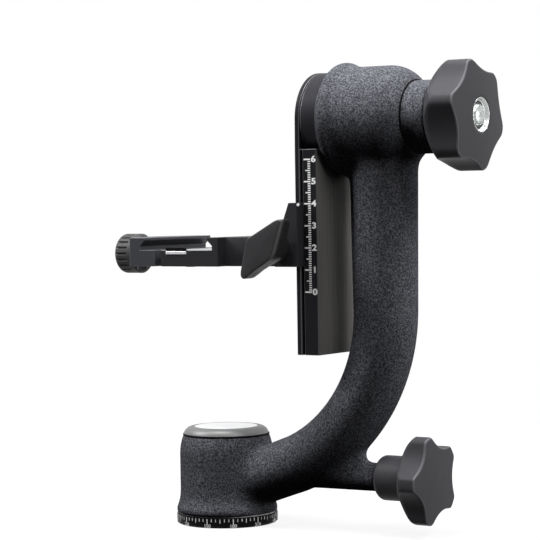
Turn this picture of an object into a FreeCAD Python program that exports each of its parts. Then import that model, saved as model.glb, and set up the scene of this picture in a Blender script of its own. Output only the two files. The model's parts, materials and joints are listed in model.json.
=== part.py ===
import FreeCAD, Part
import math
import os
import re

import Sketcher
from FreeCAD import Placement, Rotation, Vector

# Gimbal tripod head, in millimetres. The origin is on the pan axis, at the seat that stands on a
# tripod; +Z is up and +X points from the pan axis to the arm and its two lock knobs.

doc = FreeCAD.newDocument("gimbal_head")
sheet = doc.addObject("Spreadsheet::Sheet", "Sizes")
parts = {}

# Every driving size, by its name in the sheet.
sizes = {
    # fits
    "run_gap": 0.05, "tip_gap": 0.1, "slide_gap": 0.15, "face_gap": 0.3, "hole_gap": 0.3,
    "end_gap": 0.4, "recess_gap": 0.8, "edge": 0.6, "lead": 0.5, "fine_edge": 0.2, "sink": 0.2,
    "spare": 0.2, "past": 1,
    # pan base
    "dial_step": 0.1, "dial_top": 5, "seat_inset": 1.4, "seat_thick": 0.3, "ring_wide": 3.4,
    "tripod_thread_radius": 4.7625, "bush_wall": 2.2375, "bush_lip_wide": 2, "bush_lip": 1.2,
    "bush_rise": 6, "glide_inset": 0.9, "glide_thick": 0.3, "spindle_flange_radius": 16.6,
    "spindle_flange": 3.6, "base_screw_circle": 12.8, "base_screw_count": 4,
    "base_screw_radius": 1.5, "base_screw_head": 2.8, "base_screw_head_deep": 1.6,
    "base_screw_floor": 0.5,
    # bearings and shafts
    "shaft_radius": 10, "bearing_outer": 16, "bearing_width": 7, "ball_radius": 1.75, "ball_count": 11,
    "race_wall": 1.9, "shoulder_step": 1.5, "shoulder_wide": 1, "sleeve_wall": 2,
    "pan_bearing_gap": 16, "tilt_bearing_gap": 18, "tilt_shoulder": 3, "thread_step": 1,
    "washer_step": 2.4, "washer_thick": 0.8, "nut_wide": 2, "nut_thick": 2.6, "bore_step": 1.4,
    # housing and arm
    "housing_radius": 22.2, "flare_step": 1.7, "flare_band": 2.4, "flare_long": 6.85,
    "housing_rim": 2.5, "neck_long": 9.1, "neck_step": 1.8, "seam": 0.35, "cap_high": 3.55,
    "cap_inset": 0.1, "cap_round": 4.4, "cap_wall": 2.2, "cap_skirt": 1.5, "disc_inset": 5.2,
    "disc_thick": 0.8, "arm_inset": 22, "arm_radius": 15.8, "arm_taper": 2, "bend_radius": 78,
    "bend_start": 102.4, "bend_angle": 70, "run_stop": 8, "base_blend": 2, "hub_blend": 3,
    "stub_blend": 4,
    # hub
    "hub_z": 189.4, "hub_gap": 0.3, "hub_rim": 1.9, "hub_radius": 23.8, "rim_step": 2.2,
    "rim_round": 3.7, "rim_fade": 3, "hub_round": 16, "hub_end_long": 13.4, "collar_radius": 16.5,
    "collar_long": 11.2, "collar_seam": 0.3, "collar_wall": 1.5, "collar_floor": 1, "collar_edge": 0.8,
    # lock screws
    "lock_rise": 9.4, "stub_end": 85, "stub_tip_radius": 6.5, "stub_taper": 0.6,
    "pan_screw_radius": 3, "pan_bush_wall": 1.6, "pan_bush_long": 12, "pan_pad_radius": 3.4,
    "pan_pad_long": 8, "tilt_screw_radius": 4, "tilt_bush_wall": 2.5, "tilt_pad_radius": 8,
    "tilt_pad_long": 3.4, "pad_room": 1,
    # knobs
    "top_knob_thick": 20.4, "top_knob_dome": 2.3, "top_knob_radius": 25.2, "top_knob_lobes": 6,
    "top_knob_notch": 4.2, "top_scallop": 26, "top_knob_angle": 45, "dish_radius": 7.9,
    "dish_deep": 2.2, "dish_plate": 1.2, "dish_rim": 0.8, "nub_radius": 4, "nub_high": 1,
    "top_knob_root": 16.5, "top_knob_back": 5.5,
    "low_knob_boss_tip": 6, "low_knob_boss": 10.3, "low_knob_boss_cone": 3, "low_knob_neck": 16.4,
    "low_knob_thick": 13.2, "low_knob_dome": 1, "low_knob_face": 6, "low_knob_radius": 20.4,
    "low_knob_lobes": 5, "low_knob_notch": 4.9, "low_scallop": 16, "low_knob_angle": 36,
    "low_knob_skin": 4, "low_knob_root": 12.5, "low_knob_back": 4, "lobe_round": 3, "knob_edge": 1.5,
    # swing plate
    "rail_front": 55, "strip_thick": 2.4, "groove_wide": 1.7, "block_thick": 7.5, "rail_half": 22.1,
    "groove_deep": 2.2, "rail_drop": 106.8, "horn_high": 8.6, "tongue_inset": 0.2, "flange_radius": 21.8,
    "flange_gap": 0.4, "swing_screw_circle": 14, "swing_screw_radius": 2, "swing_screw_head": 3.5,
    "swing_screw_long": 7, "swing_screw_floor": 0.8, "swing_socket_radius": 1.2,
    "swing_socket_deep": 0.8, "spindle_bolt_radius": 4, "spindle_bolt_head": 6.4,
    "spindle_bolt_crown": 4.4, "spindle_bolt_high": 2.8, "spindle_bolt_rim": 1.2,
    "spindle_bolt_deep": 18, "bolt_socket_radius": 2.6, "bolt_socket_deep": 0.9,
    "stop_pin_radius": 2, "stop_pin_long": 6.4, "stop_groove_deep": 1.4, "travel_up": 20,
    "travel_down": 40,
    # platform
    "plat_drop": 66.6, "plat_thick": 13.5, "bracket_high": 29, "bracket_wall": 3, "knee_wall": 6.4,
    "knee_high": 20.7, "near_wall": 0.6, "near_foot_wall": 8.5, "near_knee_high": 8.2,
    "near_jaw_gap": 0.4, "bar_inset": 1.5, "hook_wide": 5, "stop_pin_high": 23.2, "clamp_half": 27.5,
    "fixed_jaw_wide": 6.2, "fixed_lip": 9.4, "undercut": 2.8, "lip_thick": 1.2, "floor_thick": 7.6,
    "clamp_left": -17, "jaw_part": 3.6, "plate_wide": 38, "jaw_close": 3.4, "grip_spare": 0.1,
    "jaw_wall": 5.9, "nose_long": 11, "nose_half": 11,
    # rail clamp
    "wing_inset": 4.4, "wing_high": 8.8, "wing_screw_radius": 2.5, "wing_screw_deep": 22,
    "wing_gap": 0.9, "wing_boss_cone": 6.6, "wing_boss_radius": 6.2, "wing_boss_tip": 4.6,
    "wing_washer_radius": 5.2, "wing_reach": 17.6, "wing_skin": 3, "wing_thick": 7,
    "wing_long": 16.5, "wing_half": 7.3, "wing_end_half": 2.6, "wing_angle": 38.7, "wing_edge": 1.3,
    "wing_corner": 1.8, "guide_pin_radius": 1.5, "guide_pin_inset": 3.4, "guide_pin_foot": 3,
    "guide_pin_head": 14.3, "guide_pin_long": 11.5, "guide_pin_seat": 6, "dot_radius": 0.65,
    "dot_inset": 4.6, "dot_drop": 0.9, "dot_thick": 0.4, "dot_proud": 0.1,
    # plate clamp
    "spring_radius": 2.1, "spring_wire": 0.5, "spring_pocket": 4, "spring_turns": 7,
    "jaw_spring_y": 7, "jaw_pin_radius": 2, "jaw_pin_y": 14, "jaw_pin_high": 3.8, "jaw_pin_long": 18,
    "jaw_pin_seat": 7.5, "plate_knob_high": 5.4, "plate_knob_radius": 9.6, "plate_knob_gap": 1,
    "plate_knob_long": 11.5, "plate_knob_ribs": 20, "rib_radius": 0.8, "rib_start": 3.6,
    "knob_cone": 2.4, "knob_lead": 1, "knob_skin": 3, "plate_washer_radius": 6.6,
    "clamp_screw_radius": 2, "clamp_screw_reach": 20, "washer_wall": 0.8, "under_screw_inset": 3.9,
    "under_screw_y": 20, "under_screw_radius": 2.6, "under_shank_radius": 1.3,
    "under_screw_high": 1.8, "under_screw_long": 3,
}

# Every place or size that follows from those.
places = {
    # along the pan axis
    "glide_top": "dial_top + glide_thick",
    "housing_bottom": "glide_top + run_gap",
    "flare_top": "housing_bottom + flare_long",
    "bush_top": "dial_top + bush_rise",
    "spindle_flange_top": "dial_top + spindle_flange",
    "pan_low": "spindle_flange_top + shoulder_wide",
    "pan_sleeve": "pan_low + bearing_width",
    "pan_high": "pan_sleeve + pan_bearing_gap",
    "pan_washer": "pan_high + bearing_width",
    "pan_nut": "pan_washer + washer_thick",
    "pan_end": "pan_nut + nut_thick + spare",
    "housing_top": "pan_washer + housing_rim",
    "neck_start": "housing_top - neck_long",
    "cap_bottom": "housing_top + seam",
    "cap_top": "cap_bottom + cap_high",
    "disc_bottom": "cap_top - disc_thick",
    "lock_z": "pan_sleeve + lock_rise",
    # round the pan axis
    "flare_radius": "housing_radius + flare_step",
    "dial_radius": "flare_radius + dial_step",
    "seat_radius": "dial_radius - seat_inset",
    "plate_radius": "dial_radius - ring_wide",
    "glide_outer": "flare_radius - glide_inset",
    "glide_inner": "spindle_flange_radius + recess_gap + edge",
    "bush_radius": "tripod_thread_radius + bush_wall",
    "bush_lip_radius": "bush_radius + bush_lip_wide",
    "neck_radius": "housing_radius - neck_step",
    "neck_bend": "(neck_long * neck_long + neck_step * neck_step) / 2 / neck_step",
    "cap_radius": "neck_radius - cap_inset",
    "disc_radius": "cap_radius - disc_inset",
    # in the bearings
    "ball_path": "(shaft_radius + bearing_outer) / 2",
    "shoulder_radius": "shaft_radius + shoulder_step",
    "sleeve_radius": "shaft_radius + sleeve_wall",
    "thread_radius": "shaft_radius - thread_step",
    "washer_radius": "shaft_radius + washer_step",
    "nut_flats": "2 * (thread_radius + nut_wide)",
    "inner_bore": "bearing_outer - bore_step",
    # along the tilt axis
    "strip_back": "rail_front + strip_thick",
    "block_front": "strip_back + groove_wide",
    "block_back": "block_front + block_thick",
    "hub_left": "block_back + hub_gap",
    "flange_back": "hub_left - flange_gap",
    "tilt_low": "flange_back + tilt_shoulder",
    "tilt_sleeve": "tilt_low + bearing_width",
    "tilt_high": "tilt_sleeve + tilt_bearing_gap",
    "tilt_washer": "tilt_high + bearing_width",
    "tilt_nut": "tilt_washer + washer_thick",
    "spindle_end": "tilt_nut + nut_thick + spare",
    "spigot_start": "spindle_end + end_gap",
    "tilt_pad_start": "spindle_end + tip_gap",
    "tilt_pad_end": "tilt_pad_start + tilt_pad_long",
    "hub_right": "spindle_end + hub_rim",
    "hub_round_start": "hub_right - hub_end_long",
    "collar_start": "hub_right + collar_seam",
    "collar_step": "tilt_pad_end + collar_wall + collar_floor",
    "collar_end": "collar_start + collar_long",
    "top_knob_start": "collar_end + end_gap",
    "top_knob_end": "top_knob_start + top_knob_thick",
    "top_knob_waist": "top_knob_radius - top_knob_notch",
    "dish_floor": "top_knob_end - dish_deep",
    "tilt_screw_end": "dish_floor - dish_plate - past",
    # round the tilt axis
    "rim_radius": "hub_radius + rim_step",
    "rim_centre": "hub_left + rim_round",
    "rim_low": "rim_radius - rim_round",
    "rim_rise": "hub_radius + rim_fade - rim_low",
    "rim_reach": "sqrt((rim_round + rim_fade) * (rim_round + rim_fade) - rim_rise * rim_rise)",
    "rim_share": "rim_round / (rim_round + rim_fade)",
    "hub_end_rise": "sqrt(hub_round * hub_round - hub_end_long * hub_end_long)",
    "hub_end_radius": "hub_radius - hub_round + hub_end_rise",
    "hub_mouth": "nut_flats / 2 / cos(30) + recess_gap",
    "collar_hollow": "tilt_pad_radius + pad_room",
    "tilt_bush_radius": "tilt_screw_radius + tilt_bush_wall",
    # the arm's bend, and its straight run into the pan axis
    "arm_x": "hub_left + arm_inset",
    "arm_end_radius": "arm_radius - arm_taper",
    "bend_centre": "arm_x - bend_radius",
    "bend_end_x": "bend_centre + bend_radius * cos(bend_angle)",
    "bend_end_z": "bend_start - bend_radius * sin(bend_angle)",
    "run_end_z": "bend_end_z - (bend_end_x - run_stop) / tan(bend_angle)",
    # along the pan lock screw
    "stub_radius": "stub_tip_radius + stub_taper",
    "pan_bush_radius": "pan_screw_radius + pan_bush_wall",
    "pan_pad_start": "sleeve_radius + tip_gap",
    "pan_pad_end": "pan_pad_start + pan_pad_long",
    "pan_bush_start": "stub_end - pan_bush_long",
    "low_knob_start": "stub_end + low_knob_neck",
    "low_knob_end": "low_knob_start + low_knob_thick",
    "low_knob_waist": "low_knob_radius - low_knob_notch",
    # the swing plate and the platform, from the tilt axis down
    "rail_bottom": "hub_z - rail_drop",
    "bite_radius": "flange_radius + spare",
    "horn_top": "hub_z - bite_radius + horn_high",
    "tongue_radius": "rail_half - tongue_inset",
    "plat_bottom": "hub_z - plat_drop",
    "plat_top": "plat_bottom + plat_thick",
    "floor_z": "plat_bottom + floor_thick",
    "bracket_top": "plat_bottom + bracket_high",
    "bracket_knee": "plat_bottom + knee_high",
    "near_jaw_knee": "plat_bottom + near_knee_high",
    "stop_pin_z": "plat_bottom + stop_pin_high",
    "stop_groove_half": "stop_pin_radius + face_gap",
    "wing_z": "plat_bottom + wing_high",
    "guide_pin_low": "plat_bottom + guide_pin_foot",
    "guide_pin_high": "bracket_top - guide_pin_head",
    "jaw_pin_z": "plat_bottom + jaw_pin_high",
    "plate_knob_z": "plat_bottom + plate_knob_high",
    "dot_z": "bracket_top - dot_drop",
    # the platform, out from the rail
    "wall_start": "rail_front - slide_gap",
    "bracket_left": "rail_front - bracket_wall",
    "bracket_knee_x": "rail_front - knee_wall",
    "near_jaw_left": "rail_front - near_wall",
    "near_jaw_foot": "rail_front - near_foot_wall",
    "wing_x": "rail_front - wing_inset",
    "guide_pin_x": "rail_front - guide_pin_inset",
    "dot_x": "rail_front + dot_inset",
    # across the rail
    "bar_half": "rail_half - bar_inset",
    "jaw_face": "rail_half + hook_wide",
    "wing_boss_start": "jaw_face + wing_gap",
    "wing_boss_full": "wing_boss_start + wing_boss_cone",
    "wing_front": "wing_boss_start + wing_reach",
    "wing_back": "wing_front - wing_thick",
    "wing_screw_end": "wing_front - wing_skin",
    # along the plate clamp
    "fixed_jaw_outer": "fixed_lip + fixed_jaw_wide",
    "bar_start": "fixed_lip + undercut - spare",
    "jaw_right": "clamp_left - jaw_part",
    "jaw_tip": "fixed_lip + undercut - plate_wide - jaw_close + grip_spare",
    "jaw_shoulder": "jaw_tip - jaw_wall",
    "jaw_nose": "jaw_shoulder - nose_long",
    "under_screw_x": "jaw_tip - under_screw_inset",
    "knob_start": "jaw_nose - plate_knob_gap",
    "knob_end": "knob_start - plate_knob_long",
    "knob_screw_end": "knob_end + knob_skin",
}

for row, (name, size) in enumerate(sizes.items(), 1):
    sheet.set(f"A{row}", name)
    sheet.set(f"B{row}", str(size))
    sheet.setAlias(f"B{row}", name)
doc.recompute()


def spread(text):
    """A formula with each place written out in the sheet's sizes."""
    return re.sub(r"[a-z_]+", lambda word: f"({spread(places[word[0]])})" if word[0] in places else word[0],
                  text)


def ex(text):
    """An expression that reads each size from the sheet."""
    return re.sub(r"[a-z_]+", lambda word: "Sizes." + word[0] if word[0] in sizes else word[0],
                  spread(text))


def val(text):
    """The present value of a formula."""
    return float(sheet.evalExpression(spread(text)))


def bind(item, path, text):
    item.setExpression(path, ex(text))


def body(label, x="0", y="0", z="0", turn=None):
    """A sub-part, placed at x, y, z and turned about an axis by an angle."""
    part = doc.addObject("PartDesign::Body", label)
    part.Label = label
    if turn:
        part.Placement = Placement(Vector(0, 0, 0), Rotation(Vector(*turn[0]), val(turn[1])))
        bind(part, "Placement.Rotation.Angle", turn[1])
    for name, text in (("x", x), ("y", y), ("z", z)):
        if text != "0":
            bind(part, "Placement.Base." + name, text)
    parts[label] = part
    return part


def plane(part, role):
    return [item for item in part.Origin.OriginFeatures if item.Role == role][0]


def blank_sketch(part, role, offset="0"):
    sketch = part.newObject("Sketcher::SketchObject", part.Label + "_sketch")
    sketch.AttachmentSupport = [(plane(part, role), "")]
    sketch.MapMode = "FlatFace"
    if offset != "0":
        bind(sketch, "AttachmentOffset.Base.z", offset)
    return sketch


def pin_point(sketch, edge, end, x, y):
    """Hold one end of an edge at x, y from the sketch's origin."""
    for kind, text in (("DistanceX", x), ("DistanceY", y)):
        index = sketch.addConstraint(Sketcher.Constraint(kind, -1, 1, edge, end, val(text)))
        bind(sketch, f"Constraints[{index}]", text)


def arc_between(start, finish, radius):
    """The short arc that bulges to the left of the way from start to finish, or right if radius < 0."""
    middle = (start + finish) * 0.5
    way = finish - start
    side = Vector(way.y, -way.x, 0).normalize()
    sagitta = math.sqrt(max(radius * radius - way.Length ** 2 / 4, 0))
    centre = middle + side * math.copysign(sagitta, radius)
    first, last = (start, finish) if radius < 0 else (finish, start)
    angles = [math.atan2(point.y - centre.y, point.x - centre.x) for point in (first, last)]
    circle = Part.Circle(centre, Vector(0, 0, 1), abs(radius))
    return Part.ArcOfCircle(circle, angles[0], angles[1]), radius < 0


def draw(sketch, *outlines, closed=True):
    """Draw outlines through (x, y) or (x, y, radius); a radius bends the edge to the next point."""
    for outline in outlines:
        spots = [Vector(val(point[0]), val(point[1]), 0) for point in outline]
        count = len(outline) if closed else len(outline) - 1
        ends = []
        for index in range(count):
            start, finish = spots[index], spots[(index + 1) % len(spots)]
            if len(outline[index]) == 3:
                arc, forward = arc_between(start, finish, val(outline[index][2]))
                edge = sketch.addGeometry(arc, False)
                bend = sketch.addConstraint(Sketcher.Constraint("Radius", edge, abs(val(outline[index][2]))))
                bind(sketch, f"Constraints[{bend}]", outline[index][2].lstrip("-"))
                ends.append((edge, 1, 2) if forward else (edge, 2, 1))
            else:
                edge = sketch.addGeometry(Part.LineSegment(start, finish), False)
                ends.append((edge, 1, 2))
        for index in range(count):
            edge, first, last = ends[index]
            pin_point(sketch, edge, first, outline[index][0], outline[index][1])
            if closed or index < count - 1:
                following = ends[(index + 1) % count]
                sketch.addConstraint(
                    Sketcher.Constraint("Coincident", edge, last, following[0], following[1]))
            else:
                pin_point(sketch, edge, last, outline[-1][0], outline[-1][1])
    return sketch


def outline(part, role, *outlines, offset="0"):
    return draw(blank_sketch(part, role, offset), *outlines)


def rounds(part, role, *circles, offset="0"):
    """Circles (x, y, radius) on one of the sub-part's own planes."""
    sketch = blank_sketch(part, role, offset)
    for x, y, radius in circles:
        edge = sketch.addGeometry(Part.Circle(Vector(val(x), val(y), 0), Vector(0, 0, 1), val(radius)))
        size = sketch.addConstraint(Sketcher.Constraint("Radius", edge, val(radius)))
        bind(sketch, f"Constraints[{size}]", radius)
        pin_point(sketch, edge, 3, x, y)
    return sketch


def box_points(x0, y0, x1, y1):
    return [(x0, y0), (x1, y0), (x1, y1), (x0, y1)]


def spin(part, sketch, axis, kind="Revolution"):
    """Turn a sketch about its own H_Axis or V_Axis, adding or, as a Groove, cutting."""
    feature = part.newObject("PartDesign::" + kind, part.Label + "_" + kind.lower())
    feature.Profile = sketch
    feature.ReferenceAxis = (sketch, [axis])
    feature.Angle = 360
    return feature


def extrude(part, sketch, length, kind="Pad", back=False, both=False):
    """Pad or Pocket a sketch along its normal, or against it, or half each way."""
    feature = part.newObject("PartDesign::" + kind, part.Label + "_" + kind.lower())
    feature.Profile = sketch
    bind(feature, "Length", length)
    feature.Reversed = back
    feature.Midplane = both
    return feature


def around(part, features, role, count):
    """Repeat features round one of the sub-part's own axes."""
    feature = part.newObject("PartDesign::PolarPattern", part.Label + "_ring")
    feature.Originals = features
    feature.Axis = (plane(part, role), [""])
    feature.Angle = 360
    bind(feature, "Occurrences", count)
    part.Tip = feature
    return feature


def soften(part, radius, wanted, kind="Fillet"):
    """Fillet or Chamfer the edges of the sub-part that the test picks."""
    doc.recompute()
    base = part.Tip
    names = [f"Edge{number}" for number, edge in enumerate(base.Shape.Edges, 1) if wanted(edge)]
    feature = part.newObject("PartDesign::" + kind, part.Label + "_" + kind.lower())
    feature.Base = (base, names)
    bind(feature, "Radius" if kind == "Fillet" else "Size", radius)
    return feature


def turned(label, axis, *outlines, **place):
    """A turned sub-part: outlines (along X or Z, radius) spun about the H_Axis or V_Axis."""
    part = body(label, **place)
    spin(part, outline(part, "XZ_Plane", *outlines), axis)
    return part


def near(length, wanted, slack=0.02):
    return abs(length - wanted) < slack


def level(edge, axis, position):
    """Whether a whole edge lies in the plane at the position along axis x, y or z."""
    ends = [getattr(edge.BoundBox, axis.upper() + end) for end in ("Min", "Max")]
    return all(near(end, position) for end in ends)


# ---- pan base: what stays still on the tripod ----

def base_plate():
    part = turned("base_plate", "V_Axis", [
        ("bush_radius", "0"), ("seat_radius", "0"), ("seat_radius", "seat_thick"),
        ("plate_radius", "seat_thick"), ("plate_radius", "dial_top"), ("bush_lip_radius", "dial_top"),
        ("bush_lip_radius", "dial_top - bush_lip"), ("bush_radius", "dial_top - bush_lip")])
    hole = rounds(part, "XY_Plane", ("base_screw_circle", "0", "base_screw_radius + hole_gap"))
    seat = rounds(part, "XY_Plane", ("base_screw_circle", "0", "base_screw_head + hole_gap"))
    hole = extrude(part, hole, "dial_top + past", "Pocket", back=True)
    seat = extrude(part, seat, "base_screw_head_deep + sink", "Pocket", back=True)
    around(part, [hole, seat], "Z_Axis", "base_screw_count")


def base_screws():
    part = body("base_screws")
    top = "(base_screw_head_deep + sink)"
    head = rounds(part, "XY_Plane", ("base_screw_circle", "0", "base_screw_head"), offset="sink")
    shank = rounds(part, "XY_Plane", ("base_screw_circle", "0", "base_screw_radius"), offset=top)
    head = extrude(part, head, "base_screw_head_deep")
    shank = extrude(part, shank, f"spindle_flange_top - base_screw_floor - tip_gap - {top}")
    around(part, [head, shank], "Z_Axis", "base_screw_count")


def tripod_bush():
    turned("tripod_bush", "V_Axis", [
        ("tripod_thread_radius", "0"), ("bush_radius", "0"), ("bush_radius", "dial_top - bush_lip"),
        ("bush_lip_radius", "dial_top - bush_lip"), ("bush_lip_radius", "dial_top"),
        ("bush_radius", "dial_top"), ("bush_radius", "bush_top"), ("tripod_thread_radius", "bush_top")])


def dial_ring():
    turned("dial_ring", "V_Axis", [
        ("plate_radius", "seat_thick"), ("dial_radius - edge", "seat_thick"),
        ("dial_radius", "seat_thick + edge"), ("dial_radius", "dial_top"), ("plate_radius", "dial_top")])


def pan_spindle():
    bore = "bush_radius + hole_gap"
    part = turned("pan_spindle", "V_Axis", [
        (bore, "dial_top"), ("spindle_flange_radius", "dial_top"),
        ("spindle_flange_radius", "spindle_flange_top"), ("shoulder_radius", "spindle_flange_top"),
        ("shoulder_radius", "pan_low"), ("shaft_radius", "pan_low"), ("shaft_radius", "pan_washer"),
        ("thread_radius", "pan_washer"), ("thread_radius", "pan_end"), ("0", "pan_end"),
        ("0", "bush_top + past"), (bore, "bush_top + past")])
    hole = extrude(part, rounds(part, "XY_Plane", ("base_screw_circle", "0", "base_screw_radius"),
                                offset="dial_top"), "spindle_flange - base_screw_floor", "Pocket",
                   back=True)
    around(part, [hole], "Z_Axis", "base_screw_count")


def glide_washer():
    turned("glide_washer", "V_Axis", box_points("glide_inner", "dial_top", "glide_outer", "glide_top"))


def bearing_rings(label, axis, starts, inner, outer, **place):
    """Two bearing rings from starts, with a ball groove cut in each."""
    swap = axis == "H_Axis"
    part = body(label, **place)
    walls, grooves = [], []
    for start in starts:
        wall = box_points(start, inner, f"{start} + bearing_width", outer)
        groove = (f"{start} + bearing_width / 2", "ball_path", "ball_radius + slide_gap")
        walls.append(wall if swap else [(y, x) for x, y in wall])
        grooves.append(groove if swap else (groove[1], groove[0], groove[2]))
    spin(part, outline(part, "XZ_Plane", *walls), axis)
    spin(part, rounds(part, "XZ_Plane", *grooves), axis, "Groove")


def bearing_balls(label, role, starts, **place):
    """Two rows of bearing balls."""
    part = body(label, **place)
    rows = []
    for start in starts:
        ball = part.newObject("PartDesign::AdditiveSphere", label + "_ball")
        middle = f"{start} + bearing_width / 2"
        ball.AttachmentSupport = [(plane(part, "XY_Plane"), "")]
        ball.MapMode = "FlatFace"
        bind(ball, "Radius", "ball_radius")
        bind(ball, "AttachmentOffset.Base.x", "ball_path" if role == "Z_Axis" else middle)
        bind(ball, "AttachmentOffset.Base.z", middle if role == "Z_Axis" else "ball_path")
        rows.append(ball)
    around(part, rows, role, "ball_count")


def hexagon(flats):
    """Corners of a hexagon on the sketch's origin, as expressions."""
    return [(f"{flats} / 2 / cos(30) * cos({60 * k})", f"{flats} / 2 / cos(30) * sin({60 * k})")
            for k in range(6)]


def pan_bearings():
    starts = ("pan_low", "pan_high")
    bearing_rings("pan_inner_rings", "V_Axis", starts, "shaft_radius", "shaft_radius + race_wall")
    bearing_rings("pan_outer_rings", "V_Axis", starts, "bearing_outer - race_wall", "bearing_outer")
    bearing_balls("pan_balls", "Z_Axis", starts)
    turned("brake_sleeve", "V_Axis", box_points("shaft_radius", "pan_sleeve", "sleeve_radius", "pan_high"))
    turned("spindle_washer", "V_Axis", box_points("thread_radius", "pan_washer", "washer_radius", "pan_nut"))
    nut = body("spindle_nut")
    extrude(nut, outline(nut, "XY_Plane", hexagon("nut_flats"), offset="pan_nut"), "nut_thick")
    extrude(nut, rounds(nut, "XY_Plane", ("0", "0", "thread_radius"), offset="pan_nut"),
            "nut_thick + past", "Pocket", back=True)


# ---- the C-shaped arm, its cap, collar and bushes ----

def c_arm():
    part = body("c_arm")
    housing = outline(part, "XZ_Plane", [
        ("0", "housing_bottom"), ("flare_radius - edge", "housing_bottom"),
        ("flare_radius", "housing_bottom + edge"), ("flare_radius", "housing_bottom + flare_band"),
        ("housing_radius", "flare_top"), ("housing_radius", "neck_start", "-neck_bend"),
        ("neck_radius", "housing_top"), ("0", "housing_top")])
    spin(part, housing, "V_Axis")

    spine = blank_sketch(part, "XZ_Plane")
    draw(spine, [("arm_x", "hub_z"), ("arm_x", "bend_start", "bend_radius"),
                 ("bend_end_x", "bend_end_z"), ("run_stop", "run_end_z")], closed=False)
    section = rounds(part, "XY_Plane", ("arm_x", "0", "arm_radius"), offset="hub_z")
    end_section = rounds(part, "YZ_Plane", ("0", "run_end_z", "arm_end_radius"), offset="run_stop")
    tube = part.newObject("PartDesign::AdditivePipe", "c_arm_tube")
    tube.Profile = section
    tube.Spine = spine
    tube.Transformation = "Multisection"
    tube.Sections = [(end_section, [""])]

    stub = blank_sketch(part, "XZ_Plane")
    draw(stub, [("arm_end_radius", "lock_z"), ("stub_end", "lock_z"),
                ("stub_end", "lock_z + stub_tip_radius"), ("arm_end_radius", "lock_z + stub_radius")])
    spin(part, stub, level_axis(stub, "lock_z"))

    hub = blank_sketch(part, "XZ_Plane")
    draw(hub, [
        ("hub_left", "hub_z"), ("hub_left", "hub_z + rim_low", "rim_round"),
        ("rim_centre + rim_reach * rim_share", "hub_z + rim_low + rim_rise * rim_share",
         "-rim_fade"),
        ("rim_centre + rim_reach", "hub_z + hub_radius"),
        ("hub_round_start", "hub_z + hub_radius", "hub_round"),
        ("hub_right", "hub_z + hub_end_radius"), ("hub_right", "hub_z")])
    spin(part, hub, level_axis(hub, "hub_z"))

    def junction(low, high, left, right):
        """A test for the curved edges where the tube meets another form, inside the limits."""
        limits = [val(text) for text in (low, high, left, right)]

        def wanted(edge):
            size = edge.BoundBox
            inside = (size.ZMin > limits[0] and size.ZMax < limits[1]
                      and size.XMin > limits[2] and size.XMax < limits[3])
            return inside and isinstance(edge.Curve, Part.BSplineCurve)
        return wanted

    soften(part, "hub_blend", junction("(bend_start + hub_z) / 2", "hub_z", "bend_centre", "hub_right"))
    soften(part, "base_blend",
           junction("housing_bottom + flare_band", "housing_top", "run_stop", "flare_radius"))
    soften(part, "stub_blend",
           junction("0", "lock_z + stub_radius + past", "flare_radius + base_blend", "pan_bush_start"))

    # Bearing seats in the housing and the hub, and the way through for the pan lock screw.
    bores = outline(part, "XZ_Plane", [
        ("0", "0"), ("spindle_flange_radius + recess_gap", "0"),
        ("spindle_flange_radius + recess_gap", "spindle_flange_top + end_gap"),
        ("bearing_outer", "spindle_flange_top + end_gap"), ("bearing_outer", "pan_sleeve"),
        ("inner_bore", "pan_sleeve"), ("inner_bore", "pan_high"), ("bearing_outer", "pan_high"),
        ("bearing_outer", "housing_top + past"), ("0", "housing_top + past")])
    spin(part, bores, "V_Axis", "Groove")
    axle_bore = draw(blank_sketch(part, "XZ_Plane"), [
        ("hub_left - past", "hub_z"), ("hub_left - past", "hub_z + bearing_outer"),
        ("tilt_washer", "hub_z + bearing_outer"), ("tilt_washer", "hub_z + hub_mouth"),
        ("hub_right + past", "hub_z + hub_mouth"), ("hub_right + past", "hub_z")])
    spin(part, axle_bore, level_axis(axle_bore, "hub_z"), "Groove")
    extrude(part, rounds(part, "YZ_Plane", ("0", "lock_z", "pan_pad_radius + slide_gap")),
            "stub_end + past", "Pocket", back=True)
    extrude(part, rounds(part, "YZ_Plane", ("0", "lock_z", "pan_bush_radius"), offset="pan_bush_start"),
            "pan_bush_long + past", "Pocket", back=True)


def base_cap():
    turned("base_cap", "V_Axis", [
        ("bearing_outer - cap_skirt", "pan_washer + end_gap"),
        ("bearing_outer", "pan_washer + end_gap"), ("bearing_outer", "cap_bottom"),
        ("cap_radius", "cap_bottom"), ("cap_radius", "cap_bottom + face_gap", "-cap_round"),
        ("cap_radius - cap_round + edge", "cap_top"), ("disc_radius", "cap_top"),
        ("disc_radius", "disc_bottom"), ("0", "disc_bottom"), ("0", "cap_top - cap_wall"),
        ("bearing_outer - cap_skirt", "cap_top - cap_wall")])
    turned("cap_disc", "V_Axis", [
        ("0", "disc_bottom"), ("disc_radius", "disc_bottom"), ("disc_radius", "cap_top - fine_edge"),
        ("disc_radius - fine_edge", "cap_top"), ("0", "cap_top")])


def hub_collar():
    turned("hub_collar", "H_Axis", [
        ("spigot_start", "collar_hollow"), ("spigot_start", "hub_mouth"), ("collar_start", "hub_mouth"),
        ("collar_start", "collar_radius"), ("collar_end - collar_edge", "collar_radius"),
        ("collar_end", "collar_radius - collar_edge"), ("collar_end", "tilt_bush_radius"),
        ("collar_step", "tilt_bush_radius"), ("collar_step", "collar_hollow")], z="hub_z")
    turned("tilt_lock_bush", "H_Axis", box_points(
        "collar_step", "tilt_screw_radius + run_gap", "collar_end", "tilt_bush_radius"), z="hub_z")
    turned("pan_lock_bush", "H_Axis", box_points(
        "pan_bush_start", "pan_screw_radius + run_gap", "stub_end", "pan_bush_radius"), z="lock_z")


# ---- the two lock knobs, their screws and the pads they push ----

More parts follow.
